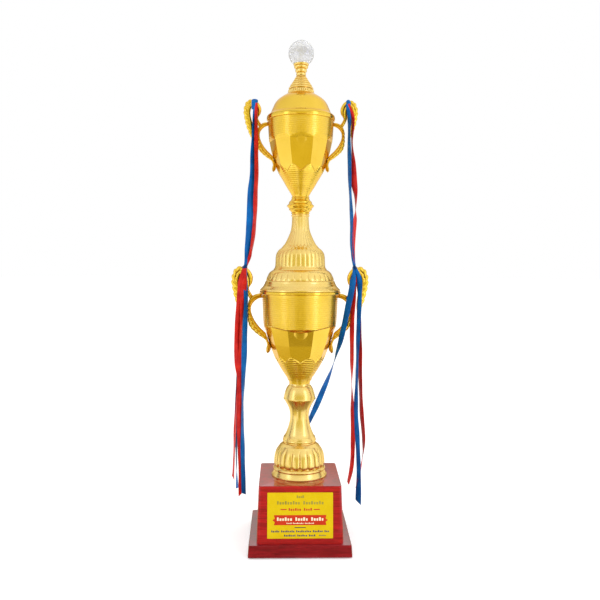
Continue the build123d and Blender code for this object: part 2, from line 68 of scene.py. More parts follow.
def node(tree, kind, inputs=None, **settings):
    made = tree.nodes.new(kind)
    for key, value in settings.items():
        setattr(made, key, value)
    for key, value in (inputs or {}).items():
        if isinstance(value, bpy.types.NodeSocket):
            tree.links.new(value, made.inputs[key])
        else:
            made.inputs[key].default_value = value
    return made


def new_material(name, **sockets):
    """A material with its Principled shader's own sockets set."""
    made = bpy.data.materials.new(name)
    made.use_nodes = True
    tree = made.node_tree
    shader = tree.nodes["Principled BSDF"]
    for key, value in sockets.items():
        shader.inputs[key.replace("_", " ")].default_value = value
    return made, tree, shader


def feed(shader, **sources):
    """Links each source to the shader's socket of that name."""
    for key, value in sources.items():
        shader.id_data.links.new(value, shader.inputs[key.replace("_", " ")])


def object_point(tree, stretch=(1.0, 1.0, 1.0)):
    coords = node(tree, "ShaderNodeTexCoord").outputs["Object"]
    return node(tree, "ShaderNodeMapping", {"Vector": coords, "Scale": stretch}).outputs["Vector"]


def noise(tree, point, scale, detail=3.0, distortion=0.0):
    inputs = {"Vector": point, "Scale": scale, "Detail": detail, "Distortion": distortion}
    return node(tree, "ShaderNodeTexNoise", inputs).outputs["Fac"]


def ramp(tree, value, stops):
    """Colour ramp from (place, colour) stops."""
    made = node(tree, "ShaderNodeValToRGB", {"Fac": value})
    elements = made.color_ramp.elements
    while len(elements) < len(stops):
        elements.new(0.5)
    for element, (place, colour) in zip(elements, stops):
        element.position = place
        element.color = (*colour, 1.0)
    return made.outputs["Color"]


def spread(tree, value, low, high):
    """A 0 to 1 value mapped to low..high."""
    inputs = {"Value": value, "To Min": low, "To Max": high, "From Min": 0.25, "From Max": 0.75}
    return node(tree, "ShaderNodeMapRange", inputs).outputs["Result"]


def mixed(tree, share, first, second, blend="MIX"):
    made = node(tree, "ShaderNodeMix", data_type="RGBA", blend_type=blend)
    for socket, value in zip((made.inputs[0], made.inputs[6], made.inputs[7]), (share, first, second)):
        if isinstance(value, bpy.types.NodeSocket):
            tree.links.new(value, socket)
        else:
            socket.default_value = value if isinstance(value, float) else (*value, 1.0)
    return made.outputs[2]


def bumped(shader, height, strength, depth):
    inputs = {"Height": height, "Strength": strength, "Distance": depth}
    feed(shader, Normal=node(shader.id_data, "ShaderNodeBump", inputs).outputs["Normal"])


def gold(name, deep, bright, roughness, waviness, satin_bands=()):
    """Bright metallised plastic: cloudy tone, painted shade in the creases, an uneven mirror, a clear coat.
    satin_bands gives the heights, in metres, between which it is finely ribbed and so less mirror-like."""
    coat = {"Coat_Weight": 0.6, "Coat_Roughness": 0.16, "Coat_IOR": 1.7}
    made, tree, shader = new_material(name, Metallic=1.0, Specular_Tint=(0.85, 0.6, 0.2, 1.0), **coat)
    point = object_point(tree)
    tone = ramp(tree, noise(tree, point, 28.0, 4.0), [(0.3, deep), (0.7, bright)])
    # Painted shade: the colour darkens where the surface is least pointy, in creases and grooves.
    convexity = node(tree, "ShaderNodeNewGeometry").outputs["Pointiness"]
    crease = ramp(tree, convexity, [(0.44, (0.55, 0.42, 0.25)), (0.5, WHITE)])
    smears = noise(tree, object_point(tree, (1.0, 1.0, 0.35)), 90.0, 5.0, 0.4)
    dullness = spread(tree, smears, roughness - 0.03, roughness + 0.07)
    if satin_bands:
        edge = 0.002
        stops = []
        for low, high in satin_bands:
            stops += [(low - edge, BLACK), (low, WHITE), (high, WHITE), (high + edge, BLACK)]
        height = node(tree, "ShaderNodeSeparateXYZ", {"Vector": point}).outputs["Z"]
        dullness = node(tree, "ShaderNodeMath", {0: ramp(tree, height, stops), 1: 0.16, 2: dullness},
                        operation="MULTIPLY_ADD").outputs[0]
    feed(shader, Base_Color=mixed(tree, 0.6, tone, crease, "MULTIPLY"), Roughness=dullness)
    ripple, grain = noise(tree, point, 60.0, 2.0), noise(tree, point, 900.0, 2.0)
    height = node(tree, "ShaderNodeMath", {0: grain, 1: 0.04, 2: ripple}, operation="MULTIPLY_ADD")
    bumped(shader, height.outputs[0], waviness, 0.0006)
    return made


def lacquered_wood(name, dark, light):
    """Red lacquer over a straight-grained veneer, glossier at a slant."""
    made, tree, shader = new_material(name, Specular_IOR_Level=0.12, Coat_Roughness=0.04, Coat_IOR=2.3)
    slant = node(tree, "ShaderNodeLayerWeight", {"Blend": 0.5}).outputs["Facing"]
    inputs = {"Value": slant, "From Min": 0.25, "From Max": 0.62, "To Min": 0.06}
    gloss = node(tree, "ShaderNodeMapRange", inputs).outputs["Result"]
    streaks = noise(tree, object_point(tree, (1.0, 1.0, 14.0)), 16.0, 8.0, 1.2)
    pores = noise(tree, object_point(tree, (6.0, 6.0, 90.0)), 22.0, 4.0)
    grain = ramp(tree, streaks, [(0.3, dark), (0.62, light)])
    speck = ramp(tree, pores, [(0.36, (0.55, 0.5, 0.5)), (0.5, WHITE)])
    feed(shader, Coat_Weight=gloss, Base_Color=mixed(tree, 0.55, grain, speck, "MULTIPLY"),
         Roughness=spread(tree, streaks, 0.28, 0.42))
    bumped(shader, noise(tree, object_point(tree), 45.0, 2.0), 0.05, 0.0004)
    return made


def satin(name, dark, light, sheen):
    """Satin ribbon: fine weft lines across its length, soft gloss and a little unevenness of dye."""
    made, tree, shader = new_material(name, Specular_IOR_Level=0.14, Sheen_Weight=0.1, Sheen_Roughness=0.35,
                                      Sheen_Tint=(*sheen, 1.0))
    point = object_point(tree)
    dye = ramp(tree, noise(tree, point, 60.0, 4.0), [(0.3, dark), (0.72, light)])
    across = object_point(tree, (0.15, 0.15, 1.0))
    inputs = {"Vector": across, "Scale": 520.0, "Distortion": 1.2, "Detail": 2.0}
    weft = node(tree, "ShaderNodeTexWave", inputs, bands_direction="Z").outputs["Fac"]
    threads = ramp(tree, weft, [(0.0, (0.72, 0.72, 0.72)), (0.6, WHITE)])
    feed(shader, Base_Color=mixed(tree, 0.7, dye, threads, "MULTIPLY"),
         Roughness=spread(tree, noise(tree, point, 140.0, 3.0), 0.3, 0.46))
    bumped(shader, weft, 0.25, 0.00012)
    return made


def film(name, dark, light, scale, roughness):
    """Printed film or paint with a slightly mottled colour."""
    made, tree, shader = new_material(name, Specular_IOR_Level=0.12, Coat_Weight=0.08, Coat_Roughness=0.12)
    point = object_point(tree)
    feed(shader, Base_Color=ramp(tree, noise(tree, point, scale, 5.0), [(0.3, dark), (0.7, light)]),
         Roughness=spread(tree, noise(tree, point, scale * 3, 3.0), roughness, roughness + 0.12))
    bumped(shader, noise(tree, point, scale * 14, 2.0), 0.08, 0.0001)
    return made


def crystal(name):
    """Clear glass with a little haze."""
    coat = {"Coat_Weight": 0.5, "Coat_Roughness": 0.05}
    made, tree, shader = new_material(name, Transmission_Weight=0.55, IOR=1.45, **coat)
    haze = noise(tree, object_point(tree), 70.0, 4.0)
    feed(shader, Base_Color=ramp(tree, haze, [(0.3, (0.76, 0.76, 0.78)), (0.7, (0.85, 0.85, 0.86))]),
         Roughness=spread(tree, haze, 0.16, 0.26))
    return made


def zinc(name):
    """Zinc plate: small spangles and fine turned lines."""
    made, tree, shader = new_material(name, Metallic=1.0)
    inputs = {"Vector": object_point(tree), "Scale": 420.0}
    spangle = node(tree, "ShaderNodeTexVoronoi", inputs).outputs["Distance"]
    turned_lines = noise(tree, object_point(tree, (1.0, 1.0, 24.0)), 120.0, 4.0)
    feed(shader, Base_Color=ramp(tree, spangle, [(0.0, (0.5, 0.5, 0.53)), (0.6, (0.68, 0.68, 0.7))]),
         Roughness=spread(tree, turned_lines, 0.22, 0.42))
    bumped(shader, turned_lines, 0.15, 0.0002)
    return made


def felt(name):
    """Dark felt of tangled fibres."""
    made, tree, shader = new_material(name, Sheen_Weight=0.7, Sheen_Roughness=0.6)
    fibres = noise(tree, object_point(tree), 900.0, 6.0, 2.0)
    feed(shader, Base_Color=ramp(tree, fibres, [(0.3, (0.012, 0.02, 0.016)), (0.7, (0.05, 0.075, 0.06))]),
         Roughness=spread(tree, fibres, 0.85, 1.0))
    bumped(shader, fibres, 0.6, 0.0006)
    return made


bright_gold = gold("bright_gold", (0.76, 0.48, 0.012), (0.83, 0.54, 0.03), 0.17, 0.08)
pale_gold = gold("pale_gold", (0.82, 0.57, 0.12), (0.88, 0.64, 0.19), 0.26, 0.06)
ribbed_gold = gold("ribbed_gold", (0.77, 0.49, 0.015), (0.84, 0.55, 0.04), 0.17, 0.06,
                   satin_bands=[(0.292, 0.333), (0.398, 0.456), (0.634, 0.674), (0.734, 0.77)])
rosewood = lacquered_wood("rosewood", (0.26, 0.004, 0.006), (0.47, 0.009, 0.01))
dark_rosewood = lacquered_wood("dark_rosewood", (0.15, 0.002, 0.005), (0.28, 0.004, 0.009))
blue_satin = satin("blue_satin", (0.0, 0.07, 0.28), (0.0, 0.15, 0.5), (0.2, 0.6, 1.0))
red_satin = satin("red_satin", (0.45, 0.006, 0.008), (0.74, 0.028, 0.015), (1.0, 0.4, 0.3))
# Darker copy of the blue satin for the knot bands: painted shade of the tight knots.
navy_satin = satin("navy_satin", (0.0, 0.02, 0.1), (0.0, 0.05, 0.2), (0.2, 0.6, 1.0))
yellow_film = film("yellow_film", (0.67, 0.465, 0.001), (0.72, 0.52, 0.003), 40.0, 0.22)
banner_red = film("banner_red", (0.5, 0.026, 0.006), (0.6, 0.04, 0.01), 50.0, 0.3)
ink_olive = film("ink_olive", (0.3, 0.24, 0.03), (0.4, 0.32, 0.05), 60.0, 0.4)
ink_dark = film("ink_dark", (0.012, 0.014, 0.03), (0.03, 0.03, 0.07), 80.0, 0.4)
ink_blue = film("ink_blue", (0.01, 0.015, 0.09), (0.02, 0.03, 0.15), 80.0, 0.4)
ink_red = film("ink_red", (0.45, 0.02, 0.01), (0.6, 0.04, 0.02), 80.0, 0.4)
ink_pale = film("ink_pale", (0.8, 0.72, 0.45), (0.9, 0.84, 0.6), 80.0, 0.4)
clear_crystal = crystal("clear_crystal")
zinc_plate = zinc("zinc_plate")
dark_felt = felt("dark_felt")

# ---------------- lines


def smooth(*points, spacing=0.5):
    """Smooth line through the points, as an array of points about spacing apart."""
    given = np.array(points, float)
    padded = np.vstack([2 * given[0] - given[1], given, 2 * given[-1] - given[-2]])
    made = [given[0]]
    for before, start, end, after in zip(padded, padded[1:], padded[2:], padded[3:]):
        back, run, on = (np.linalg.norm(b - a) for a, b in ((before, start), (start, end), (end, after)))
        leave = ((start - before) / back * run + (end - start) / run * back) / (back + run) * run
        arrive = ((end - start) / run * on + (after - end) / on * run) / (run + on) * run
        steps = max(2, math.ceil(run / spacing))
        for t in np.linspace(0, 1, steps + 1)[1:]:
            square, cube = t * t, t * t * t
            made.append((2 * cube - 3 * square + 1) * start + (cube - 2 * square + t) * leave
                        + (3 * square - 2 * cube) * end + (cube - square) * arrive)
    return np.array(made)


def curve(*points, spacing=0.5):
    """Smooth stretch of an outline, on from where the stretch before it ends."""
    return lambda start: smooth(start, *points, spacing=spacing)


def line(*points, spacing=4.0):
    """Straight stretch of an outline."""

    def drawn(start):
        made = [np.array(start, float)]
        for end in np.array(points, float):
            begin = made[-1]
            steps = max(1, math.ceil(np.linalg.norm(end - begin) / spacing))
            made += [begin + (end - begin) * t for t in np.linspace(0, 1, steps + 1)[1:]]
        return np.array(made)

    return drawn


def outline(start, *stretches):
    """Points from start on through the stretches."""
    made = np.array([start], float)
    for stretch in stretches:
        made = np.vstack([made, stretch(made[-1])[1:]])
    return made


def ease(value):
    """0 below 0, 1 above 1, smooth between."""
    held = np.clip(value, 0, 1)
    return held * held * (3 - 2 * held)


# ---------------- meshes


def placed(name, data):
    """A new object in the scene."""
    made = bpy.data.objects.new(name, data)
    bpy.context.scene.collection.objects.link(made)
    return made


def mesh_object(name, points, faces, material):
    """A new object with a mesh of its own, from points in metres."""
    mesh = bpy.data.meshes.new(name)
    mesh.from_pydata(points, [], faces)
    mesh.materials.append(material)
    return placed(name, mesh)


def piece(name, points, faces, material, body="trophy", stands_for=(), slot=None, crease=35.0):
    """Part of the trophy from millimetre points, smooth except along creases."""
    made = mesh_object(name, (np.asarray(points, float) * MM).tolist(), faces, material)
    made.data.validate()
    made.data.update()
    made.data.shade_smooth()
    made.data.set_sharp_from_angle(angle=math.radians(crease))
    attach(made, body)
    if stands_for:
        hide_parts(*stands_for)
    return made


def grid_faces(rows, columns, first=0, wrap_rows=False, wrap_columns=True):
    """Quads of a grid of points stored row by row."""
    i = np.arange(rows if wrap_rows else rows - 1)[:, None]
    j = np.arange(columns if wrap_columns else columns - 1)[None, :]
    up, right = (i + 1) % rows, (j + 1) % columns
    quads = np.stack([i * columns + j, i * columns + right, up * columns + right, up * columns + j], axis=-1)
    return (quads.reshape(-1, 4) + first).tolist()


def end_faces(rows, columns):
    """Caps over the first and last row of such a grid, whose rows close."""
    return [tuple(range(columns))[::-1], tuple(range((rows - 1) * columns, rows * columns))]


def shell(node_name, finish, outside, inside, segments, material, carve=None, replaced=(), **where):
    """Closed shell turned about Z, in place of a CAD node or of the replaced ones. outside runs up and inside
    comes back down, both in (radius, height above the node's foot). carve gives the outside its pattern."""
    replaced = replaced or [node_name]
    angle = np.radians(np.arange(segments) * 360 / segments)[None, :]
    profile = np.vstack([outside, inside])
    radius, height = (np.repeat(profile[:, k:k + 1], segments, axis=1) for k in (0, 1))
    if carve:
        count = len(outside)
        radius[:count] = carve(angle, radius[:count], height[:count])
    height += level(replaced[0], 0)
    points = np.stack([radius * np.sin(angle), -radius * np.cos(angle), height], axis=-1).reshape(-1, 3)
    return piece(f"{node_name}_{finish}", points, grid_faces(len(radius), segments, wrap_rows=True), material,
                 stands_for=replaced, slot="gold", **where)


def lobed(count, depth, roundness, rounded, foot, top):
    """carve function: a row of lobes with round lower ends, and a gap between two at the front. rounded, foot
    and top are each a height and the length over which the lobes round off or fade there."""

    def carve(angle, radius, height):
        lobe = np.abs(((angle * count / (2 * np.pi)) % 1) * 2 - 1)
        below = np.clip((rounded[0] - height) / rounded[1], 0, 1)
        swell = np.sqrt(np.clip(1 - lobe ** roundness - below ** 2, 0, 1))
        fade = ease((top[0] - height) / top[1]) * ease((height - foot[0]) / foot[1])
        return radius - depth * fade * (1 - swell)

    return carve


def reeds(angle, count, roundness=0.7):
    """Row of round reeds: 1 on each crest, 0 in each groove between them."""
    return np.abs(np.sin(angle * count / 2)) ** roundness


ROD_HOLE, STUD_HOLE = 3.4, 2.7

# ---------------- foot and stem

foot_outside = outline(
    (50.6, 0),
    line((51, 0.8), (51, 2.4), (50.2, 3.2)),
    curve((48.2, 6.8), (46.3, 11.2), spacing=0.8),
    curve((47.6, 12.4), (47.9, 14.2), (47, 16)),
    curve((46.9, 18.6), (47, 25), (46.4, 32), (43.8, 44.5), (36.2, 56), spacing=0.8),
    curve((33.2, 58.2), (31, 60), spacing=0.8),
)
foot_inside = [(ROD_HOLE, 60), (ROD_HOLE, 57), (27.5, 57), (39, 46), (42, 28), (45.6, 0)]
gadroons = lobed(count=19, depth=3.0, roundness=2.4, rounded=(26, 8.5), foot=(16, 2.5), top=(57, 14))
shell("foot", "gadrooned", foot_outside, foot_inside, 360, pale_gold, carve=gadroons)

stem_outside = outline(
    (28.6, 0),
    line((29.2, 0.6), (29.2, 2.4)),
    curve((30.5, 3.6), (30.9, 5.4), (30.4, 7)),
    line((29.9, 7.4), (29.9, 9.4), (29.2, 10.2), (29.2, 11.4)),
    curve((27.4, 13.6), (23.3, 22), (19.3, 34), (17.3, 46), (17.4, 54), (18.3, 59.5), spacing=1.0),
)
stem_inside = [(ROD_HOLE, 59.5), (ROD_HOLE, 56.5), (14.8, 56.5), (14.8, 46), (20.8, 22), (25, 13), (25, 0)]
shell("stem", "turned", stem_outside, stem_inside, 192, pale_gold)

stem_knob_outside = outline(
    (18.4, 0),
    curve((19.4, 3.5), (21.3, 8.1), (25.2, 15.5), (28.6, 20.7), spacing=0.8),
    line((29.6, 21.7), (29.8, 22.9), (29.2, 23.9)),
    curve((28.7, 26.5), (27.6, 32), (24.4, 41.1), (21.4, 46.1), spacing=0.8),
    line((20, 46.9), (19.2, 48.7), (19.2, 50.5)),
)
stem_knob_inside = [
    (ROD_HOLE, 50.5), (ROD_HOLE, 47.5), (16.8, 47.5), (24.9, 32), (26, 23), (15.6, 3.5), (15.6, 0)]
shell("stem_knob", "turned", stem_knob_outside, stem_knob_inside, 192, pale_gold)

# ---------------- bowls with ribs and facets

# Edges between the facets, in degrees from the front, the same on both sides.
FACET_EDGES = np.array([-21, 21, 54, 90, 126, 159, 201, 234, 270, 306, 339])
# Height above each bowl's foot at which its first rib would crest, were the ribs carried on down.
FIRST_RIB = -0.4


def panel_place(angle):
    """For each angle, the middle and half width of its facet in degrees, and the place across it, -1 to 1."""
    turned = (np.degrees(angle) - FACET_EDGES[0]) % 360 + FACET_EDGES[0]
    index = np.clip(np.searchsorted(FACET_EDGES, turned, side="right") - 1, 0, len(FACET_EDGES) - 2)
    left, right = FACET_EDGES[index], FACET_EDGES[index + 1]
    middle, half = (left + right) / 2, (right - left) / 2
    return turned, middle, half, (turned - middle) / half


def faceted(corner_line, top, foot_edge, foot_rise, foot_bevel, rib_depth, rib_pitch, rib_ends):
    """carve function: flat facets between two edges, and fine ribs on the round metal above and below them.
    top gives the facets' upper edge and bevel. Their lower edge is foot_rise higher at the corners."""
    corner_radius, corner_height = zip(*corner_line)

    def carve(angle, radius, height):
        turned, middle, half, across = panel_place(angle)
        flat = np.interp(height, corner_height, corner_radius) * np.cos(np.radians(half))
        flat = flat / np.cos(np.radians(turned - middle))
        top_edge, top_bevel = top(turned, across)
        under = np.clip((top_edge + top_bevel - height) / top_bevel, 0, 1)
        share = under * np.clip((height - foot_edge - foot_rise * np.abs(across)) / foot_bevel, 0, 1)
        ribs = np.cos(2 * np.pi * (height - FIRST_RIB) / rib_pitch)
        ribs = ribs * ease((height - rib_ends[0]) / 3.0) * ease((rib_ends[1] - height) / 2.0)
        ribbed = radius + rib_depth * ribs
        return ribbed * (1 - share) + np.minimum(flat, ribbed) * share

    return carve


def lower_top(turned, across):
    """Zigzag: low in the middle of the front facet, higher at its corners, highest further round."""
    side = np.abs((turned + 90) % 180 - 90)
    places = [0, 21, 54, 90]
    return np.interp(side, places, [95.5, 101, 106.5, 97]), np.interp(side, places, [9, 2, 2, 7])


def upper_top(turned, across):
    """Straight, under the bright lens at the top of each facet."""
    lens = np.sqrt(np.clip(1 - np.abs(across) ** 2.4, 0, 1))
    return 98.5 - 0.6 * np.abs(across), 0.8 + 6.4 * lens


lower_facets = faceted(
    [(40.5, 33), (43.3, 41), (55.9, 73.5), (64.2, 102), (66.4, 110)], lower_top, foot_edge=41,
    foot_rise=11, foot_bevel=1.6, rib_depth=0.2, rib_pitch=3.6, rib_ends=(6, 161))
lower_bowl_outside = outline(
    (19, 0),
    curve((19.8, 3), (20.6, 5.5), (27.8, 17), (36, 30), (41.6, 40), (47.2, 51), spacing=0.6),
    curve((52.6, 63), (57.2, 74), (62.4, 88), (65, 97), spacing=1.1),
    curve((66.6, 108), (68.3, 133), (69, 153), (69.3, 164), spacing=0.6),
)
lower_bowl_inside = [
    (67.3, 164), (66.2, 133), (64, 113), (59, 94), (48, 66), (38.4, 42), (25.8, 19), (21.8, 6),
    (ROD_HOLE, 6), (ROD_HOLE, 0)]
shell("lower_bowl", "faceted", lower_bowl_outside, lower_bowl_inside, 240, ribbed_gold, carve=lower_facets,
      crease=30.0)

upper_facets = faceted(
    [(38.6, 36), (40.6, 42), (45, 54), (48.6, 66), (53, 80), (57.6, 102), (58.6, 108)], upper_top,
    foot_edge=41.5, foot_rise=12.5, foot_bevel=1.3, rib_depth=0.13, rib_pitch=3.2, rib_ends=(7, 133))
upper_bowl_outside = outline(
    (15.2, 0),
    curve(
        (15.9, 2), (17.6, 5), (26.7, 19.6), (30.9, 27), (35.4, 34.5), (40.4, 43), (45.2, 54), spacing=0.42),
    curve((49.6, 66), (53.6, 80), (56.6, 95.5), (57.2, 98), spacing=1.1),
    curve((58.2, 110), (59, 123), (59.3, 136), spacing=0.42),
)
upper_bowl_inside = [
    (57.3, 136), (56, 114), (53, 94), (47.4, 76), (39, 50), (31.6, 34), (24.7, 21), (19, 12), (14, 4),
    (ROD_HOLE, 4), (ROD_HOLE, 0)]
shell("upper_bowl", "faceted", upper_bowl_outside, upper_bowl_inside, 240, ribbed_gold, carve=upper_facets,
      replaced=["upper_bowl_cone", "upper_bowl", "upper_bowl_band"], crease=30.0)

# ---------------- rims and lower dome

lower_rim_outside = outline(
    (72, 0),
    line((73.4, 0.2)),
    curve((74.3, 1), (74.4, 3), (74.2, 4.8), (73.4, 5.5)),
)
shell("lower_rim", "rolled", lower_rim_outside, [(63, 5.5), (63, 0)], 240, bright_gold)

dome_outside = outline(
    (72.6, 0),
    line((73.6, 0.7), (73.7, 2.7), (72.6, 3.9)),
    curve((70.2, 6.5), (67, 10.1), (65.6, 13.1), spacing=0.7),
    line((65, 13.7)),
    curve((63.4, 18.5), (61.4, 23.5), (59.4, 28), (55.6, 34.5), (51, 38.1), spacing=0.8),
    line((49, 38.9), (48.4, 40.5), (47.4, 42)),
)
dome_inside = [(ROD_HOLE, 42), (ROD_HOLE, 39), (44, 39), (54, 29.5), (62, 14.5), (67.6, 0)]
petals = lobed(count=30, depth=1.3, roundness=2.6, rounded=(25, 5.5), foot=(18.1, 1.2), top=(34.5, 7))
shell("lower_dome", "turned", dome_outside, dome_inside, 420, pale_gold, carve=petals)

upper_rim_outside = outline(
    (59.4, 0),
    line((60.4, 0.1)),
    curve((61.3, 0.8), (61.8, 2.4), (61.9, 4.4), (61.7, 6)),
)
shell("upper_rim", "rolled", upper_rim_outside, [(57.6, 6), (57.6, 0)], 240, bright_gold)

# ---------------- riser

FLUTES = 28


def drum_flutes(angle, radius, height):
    """Convex reeds that fade out at the drum's foot and run in over its shoulder."""
    depth = ease((height - 1.5) / 3.0) * ease((37.7 - height) / 5.0 + 0.45)
    return radius + 0.5 - depth * (1 - reeds(angle, FLUTES, 0.62)) * radius / 45.0


def neck_flutes(angle, radius, height):
    """The reeds carried up the neck, starting in a row of small scallops."""
    groove = 1 - reeds(angle, FLUTES)
    scallop = 0.6 + 4.2 * groove
    depth = 0.7 * ease((height - scallop) / 2.0) * ease((60 - height) / 6.0)
    lip = 0.6 * ease((scallop + 1.2 - height) / 1.2)
    return radius - depth * groove * radius / 30.0 + lip


drum_outside = outline(
    (46, 0),
    line((46.4, 0.9), (45.6, 2.1)),
    curve((45.3, 4.5), (44.9, 11.5), (44.6, 19.5), spacing=1.2),
    curve((43.2, 26.5), (38.6, 33.5), (33.6, 37.5), spacing=0.7),
)
drum_inside = [(ROD_HOLE, 37.5), (ROD_HOLE, 34.5), (30, 34.5), (38.8, 26.5), (41.4, 16.5), (41.4, 0)]
shell("riser_drum", "reeded", drum_outside, drum_inside, 392, pale_gold, carve=drum_flutes)

neck_outside = outline(
    (33.4, 0),
    curve(
        (32.6, 1), (30.9, 3.2), (28.4, 7), (24.6, 14), (21.2, 21.4), (17.4, 31.6), (15.8, 43), (15.3, 53),
        (15.3, 56.6), spacing=0.7),
    line((16.4, 57.4), (16.6, 58.8), (15.6, 59.8), (15.4, 61)),
)
neck_inside = [
    (ROD_HOLE, 61), (ROD_HOLE, 58), (12.8, 58), (13.4, 42), (15, 30), (19.4, 19), (26, 6.5), (26, 0)]
shell("riser_neck", "reeded", neck_outside, neck_inside, 392, pale_gold, carve=neck_flutes)

upper_knob_outside = outline(
    (15.4, 0),
    line((16.4, 0.8), (16.6, 2.4), (16, 3.2)),
    curve((17.4, 4.6), (19.2, 6.8)),
    curve((20.4, 7.4), (20.8, 8.6), (20.4, 9.6), spacing=0.4),
    curve((21.8, 11.2), (23.6, 13.4)),
    curve((24.6, 14.4), (24.7, 15.6), (23.6, 16.6), spacing=0.4),
    curve((21.8, 18.6), (20.6, 20.6)),
    curve((20.8, 21.8), (20.2, 23), (19.2, 23.4), spacing=0.4),
    curve((17.4, 25.8), (15.8, 28.6)),
    line((16.5, 29.4), (16.3, 30.8), (15.2, 32)),
)
upper_knob_inside = [
    (ROD_HOLE, 32), (ROD_HOLE, 29), (12.6, 29), (20.4, 18), (20.4, 13), (13.4, 4.5), (13.4, 0)]
shell("upper_knob", "ringed", upper_knob_outside, upper_knob_inside, 192, bright_gold)

# ---------------- lid

lid_outside = outline(
    (56.8, 0),
    line((56.8, 6.7), spacing=3.0),
    line((61.6, 6.7)),
    curve((61.3, 8), (60.2, 9.4), (58.6, 10.6), (56.8, 12)),
    curve((55.3, 13.6), (54, 16), (52.4, 19.8), (50.4, 24.4), (48.4, 29), spacing=0.8),
    curve((45.4, 33.8), (40.4, 39), (35.6, 42.6), (30.4, 45.8), (27.6, 47.4), spacing=0.8),
    line((26.4, 48.4), (25.2, 49.4)),
)
lid_inside = [
    (STUD_HOLE, 49.4), (STUD_HOLE, 46.4), (23, 46.4), (36.5, 38.4), (46, 28.9), (49.8, 19.4), (54.2, 6.7),
    (54.2, 0)]
shell("lid_dome", "turned", lid_outside, lid_inside, 240, bright_gold, body="lid")

BEADS = 40


def bead_band(angle, radius, height):
    """Small upright beads round the spire's foot band."""
    inside = ease((height - 1.2) / 0.8) * ease((6 - height) / 0.8)
    return radius - 1.1 * inside * (1 - reeds(angle, BEADS))


ring_levels = [8.4, 12.8, 17.4, 21.8, 25.9, 29.5, 32.6]
ring_radii = [22.3, 19.8, 16.9, 14.1, 11.8, 9.8]
# Outline of one ring: inset from its radius, and share of its height.
RING_SHAPE = [(0.6, 0), (-0.1, 0.16), (0.2, 0.42), (1.1, 0.74), (2.3, 0.96)]
spire_stretches = [
    line((24.2, 0.8)),
    curve((24, 1.4), (23.6, 2), (23.7, 3.8), (23.4, 5.6), (22.6, 6.4), spacing=0.4),
    line((20.6, 7.2), (20.6, 8.4)),
]
for low, high, radius in zip(ring_levels, ring_levels[1:], ring_radii):
    ring = [(radius - inset, low + share * (high - low)) for inset, share in RING_SHAPE]
    spire_stretches += [line(ring[0]), curve(*ring[1:])]
spire_outside = outline((24, 0), *spire_stretches, line((6.6, 32.5), (6, 32.6)))
spire_inside = [(STUD_HOLE, 32.6), (STUD_HOLE, 30), (4.6, 30), (19.6, 8), (19.6, 0)]
shell("lid_spire", "ringed", spire_outside, spire_inside, 240, pale_gold, carve=bead_band, body="lid")

cap_outside = outline(
    (6.4, 0),
    line((8.2, 0.4)),
    curve((8.9, 2), (8.7, 4), (7.6, 5.4)),
    curve((9.4, 6.6), (10.4, 8.4), (10.3, 10.6), (9.2, 12.2)),
    curve((11.2, 13.2), (12.5, 14.8), (12.4, 16.8), (11.6, 17.8)),
    curve((13.2, 18.6), (13.9, 20), (13.8, 21.2), (13.2, 21.8), spacing=0.4),
)
SEAT_GAP = 0.1
cap_foot = level("finial_cap", 0)
cap_inside = []
for down in np.radians([30, 24, 18, 12, 8]):
    seat_height = ball_centre - cap_foot - SEAT_GAP - ball_radius * math.cos(down)
    cap_inside.append((ball_radius * math.sin(down) + SEAT_GAP, seat_height))
cap_inside += [(STUD_HOLE, seat_height - 0.2), (STUD_HOLE, 0)]
shell("finial_cap", "stepped", cap_outside, cap_inside, 160, pale_gold, body="lid")

# ---------------- faceted crystal ball

BALL_SIDES, BALL_ROWS = 14, 9
BALL_REACH = 72


def faceted_ball():
    """Ball of flat kite-like facets: staggered rings of corners between two small flats."""
    points, faces = [], []
    for row, tilt in enumerate(np.radians(np.linspace(-BALL_REACH, BALL_REACH, BALL_ROWS))):
        across, height = ball_radius * math.cos(tilt), ball_centre + ball_radius * math.sin(tilt)
        for side in range(BALL_SIDES):
            turn = 2 * math.pi * (side + 0.5 * (row % 2)) / BALL_SIDES
            points.append((across * math.sin(turn), -across * math.cos(turn), height))
    for row in range(BALL_ROWS - 1):
        for side in range(BALL_SIDES):
            a, b = row * BALL_SIDES + side, row * BALL_SIDES + (side + 1) % BALL_SIDES
            c, d = a + BALL_SIDES, b + BALL_SIDES
            faces += [(a, b, c), (b, d, c)] if row % 2 == 0 else [(a, b, d), (a, d, c)]
    return points, faces + end_faces(BALL_ROWS, BALL_SIDES)


ball_points, ball_faces = faceted_ball()
piece("crystal_ball_faceted", ball_points, ball_faces, clear_crystal, body="lid", stands_for=["crystal_ball"],
      slot="crystal", crease=1.0)

# ---------------- handles

UPPER_JOINT, LOWER_JOINT, LOWER_SCALE = (73.5, 761.0), (88.5, 448.5), 1.23
ARM_THICK, LEAF_THICK = 8.0, 6.0
ARM_NOTCHES, FAN_LOBES = 16, 15
HANDLE_STEPS = 300
# Lines of the right upper handle, in (across, up) from its joint.
arm_inside = smooth(
    (-15.4, 0.8), (-9.5, -0.9), (-3.6, -5.2), (0.6, -12), (1, -19), (-2.2, -29), (-12, -43.4),
    (-20.4, -51.4), (-25.5, -57.5), (-28.8, -63), (-28.4, -69), (-28.8, -74.5), (-27.2, -79.6),
    (-24.6, -82.2))
arm_outside = smooth(
    (-15.4, 7.4), (-7, 6.4), (-1.4, 3.8), (3.4, -1.4), (5.9, -8), (6.6, -20), (6.2, -32), (3.4, -41.6),
    (-3.2, -49.4), (-12.7, -57), (-20.6, -63), (-22.8, -69), (-21.6, -76.6), (-22.2, -81), (-24, -82.6))
scroll_outside = smooth(
    (-2, 3), (1.6, 8.6), (4.2, 15.4), (-0.2, 22), (-1.6, 30.6), (1.2, 38.6), (8, 45.6), (16, 47.4),
    (24, 44.6), (28.6, 36), (30.2, 27), (29, 16), (25.4, 0.3), (20.4, -13.6), (14.6, -25.4))
